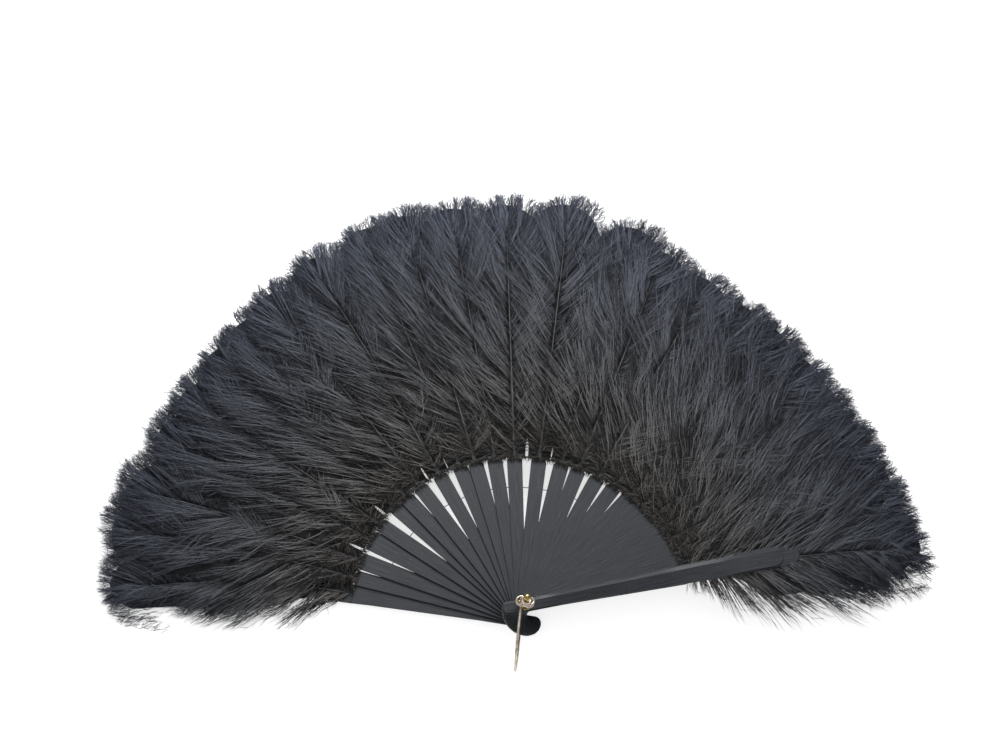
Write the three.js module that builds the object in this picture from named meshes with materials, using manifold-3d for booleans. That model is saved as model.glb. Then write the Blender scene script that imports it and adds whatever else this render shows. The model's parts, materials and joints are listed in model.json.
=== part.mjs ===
// A folding feather fan, open: two guards and their inner sticks turn on one rivet, each carries
// a plume, a thread across the backs of the sticks stops the fan at full spread, and a wire bail
// swings on the rivet's ends.
import * as THREE from "three";
import { mergeVertices } from "three/addons/utils/BufferGeometryUtils.js";
import Module from "manifold-3d";

const wasm = await Module();
wasm.setup();

// Millimetres and degrees. The rivet's axis is +Z through the origin, and the lowest face is z = 0.

// Where each stick lies in the open fan, from +X about the rivet, rear guard first
const OPEN_ANGLES = [
  173.4, 167.8, 161.5, 153.2, 146.7, 138.4, 133.3, 127.1, 119, 111.3, 105.8, 99, 92.1,
  83.6, 75.7, 69.6, 62.4, 55.8, 49.5, 44.2, 39, 33.9, 29, 24.3, 19.7, 14.6,
];
const GAP = 0.3; // running clearance between layers
const HOLE_RADIUS = 2.05; // of the rivet hole in each stick, guard and washer

// Sticks
const STICK_THICKNESS = 0.9;
const HEAD_LENGTH = 17.5; // from the rivet to the rounded head's end
const STICK_HEAD_HALF = 4.5;
const STICK_WAIST_HALF = 4.5;
const WAIST_AT = 30;
const HEAD_BEND = 4; // the flank's bend leans on these two places between head and waist
const WAIST_BEND = 12;
const BLADE_HALF = 5.9; // half width where the blade meets the feathers
const WIDE_BLADES = { 2: 6.8, 3: 8.2 }; // two of the sticks, by number, have wider blades
const BLADE_END = 127;
const SHOULDER = 3; // radius of the blade's outer corners
const RIB_HALF = 1.5;
const RIB_END = 205;

// Guards
const GUARD_THICKNESS = 3.6;
const GUARD_HEAD_HALF = 5.2;
const GUARD_WAIST_HALF = 5.2;
const GUARD_HALF = 8.6;
const GUARD_WIDEST_AT = 165;
const GUARD_SWELL_AT = 140; // the flank's curve leans towards this point
const GUARD_SWELL_HALF = 8.2;
const GUARD_END = 218;
const GUARD_BEVEL = 0.5;
const FACE_HEIGHT = 1; // the raised face on the outside of a guard
const FACE_INSET = 0.8;
const FACE_END = 205;
const FACE_SUNK = 0.4; // how far the raised face is let into the guard
const REBATE_DEPTH = 1.6; // the guard is thinned on its inner face to take the quill
const REBATE_START = 126;

// Plumes
const PLUME_THICKNESS = 0.8;
const PLUME_START = 129.5;
const PLUME_BASE_HALF = 9;
const PLUME_HALF = 36;
const PLUME_SWELL = [0.2, 0.45, 0.62]; // shares of the plume's length that its widening flank leans on
const PLUME_CLOSING = 0.9; // where the flank starts to close round the tip
const PLUME_TIP_HALF = 18;
const GUARD_PLUME_START = REBATE_START + 1.5;
// Reach of the plumes at a few open angles; the rest follow a smooth curve through these
const PLUME_REACH = [
  [14.6, 321], [38, 320], [62, 333.5], [85, 358], [110, 349], [135, 325], [152, 319], [167, 322],
  [173.4, 315],
];
const REACH_SAMPLES = 200;

// Rivet, washers and ball head
const RIVET_RADIUS = 1.6;
const REAR_HEAD_RADIUS = 3.6;
const REAR_HEAD_THICKNESS = 1.5;
const WASHER_RADIUS = 5.2;
const WASHER_THICKNESS = 0.8;
const BALL_RADIUS = 2.8;
const BALL_FOOT_RADIUS = 2.3;
const SOCKET_DEPTH = 2.4;
const EDGE_CHAMFER = 0.4;

// Bail
const WIRE_RADIUS = 0.9;
const EYE_PLAY = 0.5; // between the eye and the rivet
const EYE_RADIUS = RIVET_RADIUS + EYE_PLAY + WIRE_RADIUS; // to the wire's centre line
const EYE_TURNS = [10, 60, 110, 160, 210]; // the places that the eye passes through
const BAIL_ANGLE = 264; // where the bail points in the photographed pose
const BAIL_REACH = 45;
const LEG_SHARES = [0.04, 0.35, 0.7]; // the places that each leg passes through
const BOTTOM_TURNS = [-90, -65, -40, -20, 0, 20, 40, 65, 90]; // and the round bottom
// The front end is wound round the rivet under the ball, and its lowest turns are slack
const COIL_TURNS = 3;
const COIL_RISE = 2.65; // for each turn
const COIL_STEP = 30; // degrees between the places that the coil passes through
const COIL_SLACK = 4;
const SLACK_TURNS = 2;
const GAP_SAMPLES = 600; // places on the wire between which its gap to itself is measured
const NEIGHBOUR_SPAN = 6; // places closer along the wire than this many radii aren't compared

// Spacing thread
const THREAD_RADIUS = 0.3;
const THREAD_AT = 104; // distance from the rivet
const THREAD_BELOW = 1.9; // the thread's centre below the back of each stick
const GUARD_HALF_AT_THREAD = 7.2;

// Layers of the stack, from the floor up
const REAR_EYE_Z = REAR_HEAD_THICKNESS + GAP + WIRE_RADIUS;
const REAR_WASHER_Z = REAR_EYE_Z + WIRE_RADIUS + GAP;
const REAR_GUARD_Z = REAR_WASHER_Z + WASHER_THICKNESS + GAP;
const FIRST_STICK_Z = REAR_GUARD_Z + GUARD_THICKNESS + GAP;
const LAYER = STICK_THICKNESS + GAP;
const LAST = OPEN_ANGLES.length - 1;
const INNER_STICKS = LAST - 1;
const FRONT_GUARD_Z = FIRST_STICK_Z + INNER_STICKS * LAYER;
const FRONT_WASHER_Z = FRONT_GUARD_Z + GUARD_THICKNESS + GAP;
const FRONT_EYE_Z = FRONT_WASHER_Z + WASHER_THICKNESS + GAP + WIRE_RADIUS;
const BALL_Z = FRONT_EYE_Z + COIL_TURNS * COIL_RISE + WIRE_RADIUS + GAP;

// Facets
const ROUND_SEGMENTS = 16;
const BALL_STEPS = 8;
const STICK_SEGMENTS = 5;
const GUARD_SEGMENTS = 6;
const PLUME_SEGMENTS = 4;
const WIRE_SIDES = 8;
const BAIL_STEPS = 120;
const THREAD_SIDES = 6;
const THREAD_STEPS = 3 * LAST;
const MERGE_DISTANCE = 1e-4;

const EBONISED_WOOD = { color: 0x2b2c2f, roughness: 0.55, metalness: 0 };
const BLACK_FEATHER = { color: 0x17181b, roughness: 0.85, metalness: 0 };
const OLD_BRASS = { color: 0x9c8648, roughness: 0.35, metalness: 1 };
const DULL_WIRE = { color: 0x9a9080, roughness: 0.45, metalness: 1 };
const BLACK_THREAD = { color: 0x151515, roughness: 0.9, metalness: 0 };

const fan = new THREE.Group();

function radians(degrees) {
  return THREE.MathUtils.degToRad(degrees);
}

function addPiece(name, geometry, finish, angle = 0, z = 0) {
  const mesh = new THREE.Mesh(geometry, new THREE.MeshStandardMaterial(finish));
  mesh.name = name;
  mesh.rotation.z = radians(angle);
  mesh.position.z = z;
  fan.add(mesh);
  return mesh;
}

// Solids for cuts

function toSolid(geometry) {
  const bare = geometry.clone();
  bare.deleteAttribute("normal");
  bare.deleteAttribute("uv");
  const merged = mergeVertices(bare, MERGE_DISTANCE);
  return new wasm.Manifold(new wasm.Mesh({
    numProp: 3,
    vertProperties: merged.attributes.position.array,
    triVerts: new Uint32Array(merged.index.array),
  }));
}

function toGeometry(solid) {
  const mesh = solid.getMesh();
  const geometry = new THREE.BufferGeometry();
  geometry.setAttribute("position", new THREE.BufferAttribute(mesh.vertProperties, 3));
  geometry.setIndex(new THREE.BufferAttribute(mesh.triVerts, 1));
  geometry.computeVertexNormals();
  return geometry;
}

// Sticks and guards lie along +X in their own frame, with the rivet at the origin.

function rivetHole() {
  const hole = new THREE.Path();
  hole.absarc(0, 0, HOLE_RADIUS, 0, 2 * Math.PI, true);
  return hole;
}

// The rounded head and the bends between it and the waist, which start and close an outline

function startAtHead(headHalf, waistHalf) {
  const shape = new THREE.Shape();
  shape.absarc(headHalf - HEAD_LENGTH, 0, headHalf, Math.PI / 2, 1.5 * Math.PI, false);
  shape.bezierCurveTo(HEAD_BEND, -headHalf, WAIST_BEND, -waistHalf, WAIST_AT, -waistHalf);
  return shape;
}

function closeAtHead(shape, headHalf, waistHalf) {
  shape.bezierCurveTo(
    WAIST_BEND, waistHalf, HEAD_BEND, headHalf, headHalf - HEAD_LENGTH, headHalf,
  );
  shape.holes.push(rivetHole());
  return shape;
}

function stickShape(bladeHalf) {
  const shape = startAtHead(STICK_HEAD_HALF, STICK_WAIST_HALF);
  shape.lineTo(BLADE_END - SHOULDER, -bladeHalf);
  shape.quadraticCurveTo(BLADE_END, -bladeHalf, BLADE_END, -bladeHalf + SHOULDER);
  shape.lineTo(BLADE_END, -RIB_HALF);
  shape.lineTo(RIB_END, -RIB_HALF);
  shape.lineTo(RIB_END, RIB_HALF);
  shape.lineTo(BLADE_END, RIB_HALF);
  shape.lineTo(BLADE_END, bladeHalf - SHOULDER);
  shape.quadraticCurveTo(BLADE_END, bladeHalf, BLADE_END - SHOULDER, bladeHalf);
  shape.lineTo(WAIST_AT, STICK_WAIST_HALF);
  return closeAtHead(shape, STICK_HEAD_HALF, STICK_WAIST_HALF);
}

function stickGeometry(bladeHalf) {
  return new THREE.ExtrudeGeometry(stickShape(bladeHalf), {
    depth: STICK_THICKNESS, bevelEnabled: false, curveSegments: STICK_SEGMENTS,
  });
}

// A guard's outline, or that of its raised face, which is inset all round
function guardShape(inset, end) {
  const head = GUARD_HEAD_HALF - inset;
  const waist = GUARD_WAIST_HALF - inset;
  const swell = GUARD_SWELL_HALF - inset;
  const half = GUARD_HALF - inset;
  const shape = startAtHead(head, waist);
  shape.quadraticCurveTo(GUARD_SWELL_AT, -swell, GUARD_WIDEST_AT, -half);
  shape.lineTo(end - half, -half);
  shape.absarc(end - half, 0, half, -Math.PI / 2, Math.PI / 2, false);
  shape.lineTo(GUARD_WIDEST_AT, half);
  shape.quadraticCurveTo(GUARD_SWELL_AT, swell, WAIST_AT, waist);
  return closeAtHead(shape, head, waist);
}

// One layer of a guard from z = 0 up, with bevelled edges
function guardLayer(inset, end, thickness) {
  const layer = new THREE.ExtrudeGeometry(guardShape(inset, end), {
    depth: thickness - 2 * GUARD_BEVEL,
    bevelThickness: GUARD_BEVEL,
    bevelSize: GUARD_BEVEL,
    bevelOffset: -GUARD_BEVEL,
    bevelSegments: 1,
    curveSegments: GUARD_SEGMENTS,
  });
  return layer.translate(0, 0, GUARD_BEVEL);
}

// A guard from z = 0 up, outer face on top, thinned past REBATE_START on its inner face
function guardGeometry() {
  const base = guardLayer(0, GUARD_END, GUARD_THICKNESS - FACE_HEIGHT);
  const face = guardLayer(FACE_INSET, FACE_END, FACE_HEIGHT + FACE_SUNK);
  face.translate(0, 0, GUARD_THICKNESS - FACE_HEIGHT - FACE_SUNK);
  const cutter = new THREE.BoxGeometry(GUARD_END, 4 * GUARD_HALF, 2 * REBATE_DEPTH);
  cutter.translate(REBATE_START + GUARD_END / 2, 0, 0);
  return toGeometry(toSolid(base).add(toSolid(face)).subtract(toSolid(cutter)));
}

// The same guard with its outer face below
function turnedGuardGeometry() {
  return guardGeometry().rotateX(Math.PI).translate(0, 0, GUARD_THICKNESS);
}

// Plumes are thin leaves; an inner stick's rib lies in a slot up the leaf's middle.

const reachCurve = new THREE.SplineCurve(
  PLUME_REACH.map(([angle, reach]) => new THREE.Vector2(angle, reach)),
);

function plumeReach(angle) {
  const found = reachCurve.getPoints(REACH_SAMPLES).find((point) => point.x >= angle);
  return found ? found.y : PLUME_REACH.at(-1)[1];
}

function plumeShape(start, reach, slotted) {
  const length = reach - start;
  const [leaving, swelling, widest] = PLUME_SWELL.map((share) => start + share * length);
  const closing = start + PLUME_CLOSING * length;
  const slotHalf = RIB_HALF + GAP;
  const shape = new THREE.Shape();
  shape.moveTo(start, -slotHalf);
  shape.lineTo(start, -PLUME_BASE_HALF);
  shape.bezierCurveTo(leaving, -PLUME_HALF, swelling, -PLUME_HALF, widest, -PLUME_HALF);
  shape.bezierCurveTo(closing, -PLUME_HALF, reach, -PLUME_TIP_HALF, reach, 0);
  shape.bezierCurveTo(reach, PLUME_TIP_HALF, closing, PLUME_HALF, widest, PLUME_HALF);
  shape.bezierCurveTo(swelling, PLUME_HALF, leaving, PLUME_HALF, start, PLUME_BASE_HALF);
  shape.lineTo(start, slotHalf);
  if (slotted) {
    shape.lineTo(RIB_END + GAP, slotHalf);
    shape.lineTo(RIB_END + GAP, -slotHalf);
  }
  return shape;
}

function plumeGeometry(start, reach, slotted) {
  return new THREE.ExtrudeGeometry(plumeShape(start, reach, slotted), {
    depth: PLUME_THICKNESS, bevelEnabled: false, curveSegments: PLUME_SEGMENTS,
  });
}

// Turned pieces: profiles are [radius, height] pairs

function turned(profile) {
  const points = profile.map(([radius, height]) => new THREE.Vector2(radius, height));
  return new THREE.LatheGeometry(points, ROUND_SEGMENTS).rotateX(Math.PI / 2);
}

function rivetGeometry() {
  const top = BALL_Z + SOCKET_DEPTH - GAP;
  return turned([
    [0, 0],
    [REAR_HEAD_RADIUS - EDGE_CHAMFER, 0],
    [REAR_HEAD_RADIUS, EDGE_CHAMFER],
    [REAR_HEAD_RADIUS, REAR_HEAD_THICKNESS],
    [RIVET_RADIUS, REAR_HEAD_THICKNESS],
    [RIVET_RADIUS, top],
    [0, top],
  ]);
}

function washerGeometry() {
  return turned([
    [HOLE_RADIUS, 0],
    [WASHER_RADIUS, 0],
    [WASHER_RADIUS - EDGE_CHAMFER, WASHER_THICKNESS],
    [HOLE_RADIUS, WASHER_THICKNESS],
    [HOLE_RADIUS, 0],
  ]);
}

function ballGeometry() {
  const bore = RIVET_RADIUS + GAP;
  const footAngle = Math.acos(BALL_FOOT_RADIUS / BALL_RADIUS);
  const centre = BALL_RADIUS * Math.sin(footAngle);
  const profile = [[0, SOCKET_DEPTH], [bore, SOCKET_DEPTH], [bore, 0]];
  for (let step = 0; step < BALL_STEPS; step += 1) {
    const angle = -footAngle + ((Math.PI / 2 + footAngle) * step) / BALL_STEPS;
    profile.push([BALL_RADIUS * Math.cos(angle), centre + BALL_RADIUS * Math.sin(angle)]);
  }
  profile.push([0, centre + BALL_RADIUS]);
  return turned(profile);
}

// Bail: an eye round the rivet's rear end, two legs with a round bottom and a coil round the
// front end. Its own frame has the legs along +X, and it is turned to BAIL_ANGLE.

function roundRivet(turn, radius, z) {
  return new THREE.Vector3(radius * Math.cos(radians(turn)), radius * Math.sin(radians(turn)), z);
}

// The loop is twisted, so its rear leg passes the rivet on the +Y side and its front leg on the -Y side
function bailPath() {
  const middle = (REAR_EYE_Z + FRONT_EYE_Z) / 2;
  const bottomRadius = (FRONT_EYE_Z - REAR_EYE_Z) / 2;
  const legEnd = BAIL_REACH - bottomRadius;
  const rearEye = EYE_TURNS.map((turn) => roundRivet(-turn, EYE_RADIUS, REAR_EYE_Z));
  const leg = (side, z) => LEG_SHARES.map((share) => new THREE.Vector3(share * legEnd, side, z));
  const rearLeg = leg(EYE_RADIUS, REAR_EYE_Z);
  const frontLeg = leg(-EYE_RADIUS, FRONT_EYE_Z).reverse();
  const bottom = BOTTOM_TURNS.map((turn) => new THREE.Vector3(
    legEnd + bottomRadius * Math.cos(radians(turn)),
    -EYE_RADIUS * Math.sin(radians(turn)),
    middle + bottomRadius * Math.sin(radians(turn)),
  ));
  return new THREE.CatmullRomCurve3([...rearEye, ...rearLeg, ...bottom, ...frontLeg, ...coil()]);
}

function coil() {
  const points = [];
  for (let turned = COIL_STEP; turned <= 360 * COIL_TURNS; turned += COIL_STEP) {
    const slack = COIL_SLACK * Math.max(0, Math.sin(radians((180 * turned) / (360 * SLACK_TURNS))));
    const radius = EYE_RADIUS + slack * Math.cos(radians(turned)) ** 2;
    points.push(roundRivet(-90 - turned, radius, FRONT_EYE_Z + (COIL_RISE * turned) / 360));
  }
  return points;
}

function roundSection(radius, sides) {
  const corners = [];
  for (let corner = 0; corner < sides; corner += 1) {
    const angle = (2 * Math.PI * corner) / sides;
    corners.push(new THREE.Vector2(radius * Math.cos(angle), radius * Math.sin(angle)));
  }
  return new THREE.Shape(corners);
}

function tube(path, radius, sides, steps) {
  return new THREE.ExtrudeGeometry(roundSection(radius, sides), { extrudePath: path, steps });
}

// The least space between places on a tube that aren't neighbours along it
function leastGap(path, radius) {
  const points = path.getSpacedPoints(GAP_SAMPLES);
  const apart = Math.ceil((NEIGHBOUR_SPAN * radius * GAP_SAMPLES) / path.getLength());
  let least = Infinity;
  points.forEach((point, index) => {
    for (const other of points.slice(index + apart)) {
      least = Math.min(least, point.distanceTo(other) - 2 * radius);
    }
  });
  return least;
}

// Thread: from the rear guard's edge, under each stick, to the back of the front guard

function onArc(angle, z) {
  const turn = radians(angle);
  return new THREE.Vector3(THREAD_AT * Math.cos(turn), THREAD_AT * Math.sin(turn), z);
}

function stickZ(index) {
  return FIRST_STICK_Z + (index - 1) * LAYER;
}

function threadPath() {
  const guardEdge = Math.atan((GUARD_HALF_AT_THREAD + GAP) / THREAD_AT);
  const edgeAngle = OPEN_ANGLES[0] - THREE.MathUtils.radToDeg(guardEdge);
  const points = [onArc(edgeAngle, REAR_GUARD_Z + GUARD_THICKNESS / 2)];
  for (let index = 1; index < LAST; index += 1) {
    points.push(onArc(OPEN_ANGLES[index], stickZ(index) - THREAD_BELOW));
  }
  points.push(onArc(OPEN_ANGLES[LAST], FRONT_GUARD_Z - THREAD_RADIUS - GAP));
  return new THREE.CatmullRomCurve3(points);
}

// The fan

function numbered(kind, index) {
  return `${kind}_${String(index).padStart(2, "0")}`;
}

const rearAngle = OPEN_ANGLES[0];
const frontAngle = OPEN_ANGLES[LAST];

addPiece("rear_guard", turnedGuardGeometry(), EBONISED_WOOD, rearAngle, REAR_GUARD_Z);
addPiece(
  "rear_plume",
  plumeGeometry(GUARD_PLUME_START, plumeReach(rearAngle), false),
  BLACK_FEATHER,
  rearAngle,
  REAR_GUARD_Z + GUARD_THICKNESS - REBATE_DEPTH + GAP,
);

for (let index = 1; index < LAST; index += 1) {
  const angle = OPEN_ANGLES[index];
  const z = stickZ(index);
  const bladeHalf = WIDE_BLADES[index] ?? BLADE_HALF;
  addPiece(numbered("stick", index), stickGeometry(bladeHalf), EBONISED_WOOD, angle, z);
  addPiece(
    numbered("plume", index),
    plumeGeometry(PLUME_START, plumeReach(angle), true),
    BLACK_FEATHER,
    angle,
    z + (STICK_THICKNESS - PLUME_THICKNESS) / 2,
  );
}

addPiece("front_guard", guardGeometry(), EBONISED_WOOD, frontAngle, FRONT_GUARD_Z);
addPiece(
  "front_plume",
  plumeGeometry(GUARD_PLUME_START, plumeReach(frontAngle), false),
  BLACK_FEATHER,
  frontAngle,
  FRONT_GUARD_Z + REBATE_DEPTH - GAP - PLUME_THICKNESS,
);

addPiece("pivot_rivet", rivetGeometry(), OLD_BRASS);
addPiece("rear_washer", washerGeometry(), OLD_BRASS, 0, REAR_WASHER_Z);
addPiece("front_washer", washerGeometry(), OLD_BRASS, 0, FRONT_WASHER_Z);
addPiece("ball_head", ballGeometry(), OLD_BRASS, 0, BALL_Z);

const bailRoute = bailPath();
addPiece("bail", tube(bailRoute, WIRE_RADIUS, WIRE_SIDES, BAIL_STEPS), DULL_WIRE, BAIL_ANGLE);
console.log("length of the bail's wire", bailRoute.getLength().toFixed(0));
console.log("its least gap to itself", leastGap(bailRoute, WIRE_RADIUS).toFixed(2));

addPiece("spacing_thread", tube(threadPath(), THREAD_RADIUS, THREAD_SIDES, THREAD_STEPS), BLACK_THREAD);

export default fan;
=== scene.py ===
"""Looks of a folding feather fan: ebonised sticks and guards, dyed plumes, a brass pivot with its
wire bail, and the spacing thread. Everything is in metres, in the frame of the construction."""

import json
import math
from collections import namedtuple

import bmesh
import bpy
import numpy as np
from bpy.props import FloatProperty, FloatVectorProperty, IntProperty, PointerProperty
from mathutils import Matrix, Vector
from mathutils.geometry import interpolate_bezier


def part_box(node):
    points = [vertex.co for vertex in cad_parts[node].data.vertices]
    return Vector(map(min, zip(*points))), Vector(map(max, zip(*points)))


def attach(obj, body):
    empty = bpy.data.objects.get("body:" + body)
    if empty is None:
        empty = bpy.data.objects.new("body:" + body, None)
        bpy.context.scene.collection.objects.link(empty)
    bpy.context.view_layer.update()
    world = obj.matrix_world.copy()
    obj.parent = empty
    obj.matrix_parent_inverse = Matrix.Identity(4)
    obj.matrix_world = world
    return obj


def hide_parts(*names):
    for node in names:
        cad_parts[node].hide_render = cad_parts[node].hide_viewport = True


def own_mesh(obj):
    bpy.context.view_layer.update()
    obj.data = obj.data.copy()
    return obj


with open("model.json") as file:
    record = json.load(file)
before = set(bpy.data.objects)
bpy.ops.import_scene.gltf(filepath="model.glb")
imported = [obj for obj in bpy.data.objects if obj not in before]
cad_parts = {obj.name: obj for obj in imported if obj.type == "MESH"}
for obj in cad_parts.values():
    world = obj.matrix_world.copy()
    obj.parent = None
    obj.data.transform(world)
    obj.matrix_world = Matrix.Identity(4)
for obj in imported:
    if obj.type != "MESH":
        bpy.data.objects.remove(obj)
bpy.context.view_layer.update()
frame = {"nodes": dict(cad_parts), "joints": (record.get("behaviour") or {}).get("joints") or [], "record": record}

bl_info = {
    "name": "Feather fan",
    "version": (1, 0, 0),
    "blender": (4, 5, 0),
    "location": "View3D > Sidebar > Fan",
    "description": "Builds a folding fan of dyed plumes on dark wooden sticks",
    "category": "Add Mesh",
}

MM = 0.001
UP = Vector((0, 0, 1))
ACROSS = Vector((0, 1, 0))
ALONG = Vector((1, 0, 0))
ARC_STEPS = 12  # in a quarter round of an outline
BEND_STEPS = 10  # in a smooth bend of one
SEED = 41

# Wood
GRAIN_SHIFT = 0.31  # shifts the grain from stick to stick
FLAT_ANGLE = 15  # wood keeps its flat faces flat where they meet at more than this, in degrees
HEAD_BEND, WAIST_BEND = 0.13, 0.4  # shares of the waist's distance that the flank's bend leans on
# The guard's raised face, a low roof that flattens towards the paddle, and the ledge round it
PADDLE_FROM, PADDLE_FULL = 0.69, 0.78  # shares of the guard's length between which the face flattens
ROOF_FROM, ROOF_FULL = 0.005, 0.030  # where the roof starts and where it has its full slope
ROOF_SLOPE = (0, 1, 1, 0.6, 0.6, 0.1)  # there, on both sides of the ledge's run, and at the paddle
FACE_CELL, FACE_CELL_START = 0.008, 0.010  # between cuts across the face, and where the first is
LEDGE_RUN = 0.014  # length of the slope down to the ledge
LEDGE_LOW, LEDGE_HIGH = 0.0022, 0.0026  # the ledge's height before the paddle and on it

# Pivot, bail and thread
RUNNING_GAP = 0.0003  # clearance between neighbouring pieces of the pivot
METAL_ANGLE = 40  # metal is smooth where faces meet at less than this, in degrees
LATHE_STEPS, ROSETTE_STEPS = 48, 80
HEAD_EDGE_STEPS, RIM_STEPS, BALL_STEPS = 5, 4, 18
PETALS = 10  # on the rosette's rim
PETAL_DEPTH = 0.16  # as a share of the rim
BAIL_ANGLE = math.radians(264)  # where the bail points in the open fan
LEG_SHARES = (0.04, 0.35, 0.7)  # the places that each leg of the bail passes through
EYE_TURNS = range(20, -221, -40)  # and the eye at its rear end, in degrees
LOOP_TURNS = range(-90, 91, 20)  # and its round bottom
COIL_STEP = 30  # degrees between the places that the coil passes through
SLACK_TURNS = 2  # of the bail's coil
THREAD_KNOTS = 7  # places that each length of thread passes through
THREAD_DIP = 0.0004  # how far it hangs between two sticks
GUARD_TIE = 0.74  # share of the first length that the rear guard hides

# The plume's barbs, at shares of the way along its shaft
BARB_START_DEG = ((0.0, 0.5, 0.8, 1.0), (54, 42, 38, 26))  # from the shaft where a barb leaves it
BARB_END_DEG = ((0.0, 0.5, 0.8, 1.0), (28, 20, 18, 6))  # and at the barb's end
BARB_LENGTH = ((0.0, 0.15, 0.5, 0.85, 1.0), (0.030, 0.046, 0.060, 0.062, 0.052))
EVEN_LENGTH = ((0.0, 1.0), (1.0, 1.0))  # shares of that on the vanes between other plumes
FREE_LENGTH = (  # on the front plume's free side
    (0.0, 0.06, 0.15, 0.3, 0.45, 0.6, 0.75, 0.88, 1.0),
    (0.2, 0.45, 1.05, 1.45, 1.42, 1.08, 0.74, 0.66, 0.72),
)
REAR_LENGTH = ((0.0, 0.1, 0.3, 0.7, 1.0), (0.8, 0.92, 1.06, 0.78, 0.6))  # and on the rear plume's
FREE_SPREAD = 1.25  # the front plume's free barbs stand this much wider
REAR_SPREAD = 1.15  # and the rear plume's
FREE_DENSITY = 2.2  # a free vane lies over nothing, so it has more barbs of its own
TIP_FROM = 0.72  # share of the shaft past which barbs belong to the tip
TIP_BIAS = 0.75  # under 1 sets more barbs near the tip
TIP_SPREAD = (0.3, 1.7)  # clumps near the tip fan out by different shares of the angles above
TIP_CURL = (-1.2, 1.8)  # how far the curled clumps near the tip turn, in radians
CURLED_CLUMPS = 0.5
TIP_CALM = 0.7  # how much less the locks lean at the tip
LOCK_STRAY = 0.3  # clumps this far from a lock's edge, in locks, may belong to the next one
LOCK_SWING = (-0.3, 0.3)  # how far one lock leans from the rest, in radians
CLUMP_SWING, BARB_SWING = 0.12, 0.1  # and one clump in its lock, and one barb in its clump
ROOT_SWING = 0.6  # share of that lean that a barb has where it leaves the shaft
WAVES = (0.8, 2.0)  # along one barb
WAVE_STRAY = 0.4  # how far the waves of one clump are out of step
WAVE_TURN, TIP_WAVE_TURN = 0.24, 0.16  # how far the waves turn a barb, and how much more at the tip
CLUMP_LENGTHS, BARB_LENGTHS = (0.86, 1.1), (0.8, 1.08)  # shares of the lengths above
CLUMP_REACH = (0.985, 1.004)  # shares of the outline's reach at which clumps end
END_STRAY = 0.0012  # how far short of that a barb ends, as a mean
SAG_RANGE = (0.7, 1.2)  # shares of the vane's sag by which clumps hang
WEAVES = (0.6, 1.7)  # times that a barb goes over and under its neighbours
RISE_RATE = 3  # a barb has its full height a third of the way along
LOWEST_MM = (0.5, 1.6)  # height over the floor that a strand doesn't go under
BARB_GIRTHS = (0.65, 1.0)
LIGHT_GIRTH = 0.2  # strands with a painted highlight are this much thicker
LOCK_TONE, CLUMP_TONE = 0.08, 0.2  # how much the shade changes between locks and between clumps
STAND_STRAY, LIGHT_STAND = 0.3, 0.4  # barbs in a clump differ in height, and those with a painted highlight stand higher
MIXED_CLUMPS = 0.4  # share of the clumps at the tip that lie under the sheet
LOCKS_OVER = 0.14  # share of a right vane's locks that lie over the next plume
OVER_RISE, OVER_STRAY = (0.0018, 0.0035), 0.0005  # how high, and how far a clump strays from that
OVER_UNTIL = 0.6  # share of the tip where they stop
# Painted light on the strands: light tones are painted highlights, and the shaded tone is painted shade among them
BRIGHT_CLUMPS = 0.36  # share of clumps with many painted highlights
LIGHT_SHARE = (0.1, 0.75)  # share of barbs with a painted highlight in an ordinary and in a bright clump
LIGHT_TONES, SHADED_TONE, SHADED_SPREAD = (0.6, 1.0), 0.36, (1.2, 2.2)
# How far past its solid a plume is drawn, at open angles in degrees
REACH_GAIN = (
    (15, 30, 47, 70, 80, 95, 113, 145, 173),
    (1.02, 1.014, 1.03, 1.006, 1.03, 1.004, 1.02, 1.01, 1.012),
)
REACH_STRAY = (0.996, 1.004)  # plumes differ in length by this
SHAFT_POINTS = 16
SHAFT_STRAY = 0.0025  # how far a plume's tip strays sideways
SHAFT_TAPER = 0.3  # share of its radius near the tip
SHAFT_SHADE = (0.5, 0.15)  # on one side of the shaft, and how that changes round it
REAR_EASE, FRONT_EASE = 0.45, 0.5  # how the outermost plumes' lean fades from one plume to the next
LOBE_SLANT = 0.2  # slope of a tip's outline, which reaches further on the right
TRIM_ROUNDS = 3  # a shortened barb ends at another place, where the outline differs
SHORTEST = 0.003  # length that a trimmed barb keeps
GUARD_ROOM = 0.0004  # kept between a guard and the strands it covers

# Rows of points along one strand and its thickness there; both ends close to a point
BARB_ROWS, BARB_GIRTH = np.array((0.0, 0.1, 0.45, 0.82, 1.0)), np.array((0, 1, 1, 0.75, 0))
WISP_ROWS, WISP_GIRTH = np.array((0.0, 0.2, 0.65, 1.0)), np.array((0, 1, 0.7, 0))
STRAND_SIDES = 3
STRAND_MERGE = 1e-7  # joins the points of a strand's end
BARB_PAINTED_SHADE = (0.6, 0.8, 1.15, 1.0, 0.75)  # painted shade along a barb: darker at its root, where the next plume covers it, and at its end, at the vane's edge
MID_TONE = 0.36  # tone that the painted highlights and shade of strands near the tip fade towards
CONTRAST = 1.3  # of the strands' painted highlights and shade near the foot
# The map of a plume has painted tone of light and shade across and distance from the foot up, and every face has
# some width
MAP_SHADE, MAP_SIDE, MAP_CORNER = (0.03, 0.9), 0.01, 0.004
MAP_DISTANCE, MAP_ROW = (0.04, 0.88), 0.04

# Wisps, which are short strands on the barbs
WISP_TURN, WISP_BEND = 0.4, 0.8  # from the barb, in radians
WISP_LENGTHS = (0.4, 1.4)
WISP_RISE_MM = (0.6, 0.8)  # mean and spread
WISP_LOWEST = 0.0004
WISP_GIRTHS, WISP_TONES = (0.7, 1.2), (0.5, 0.7)

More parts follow.
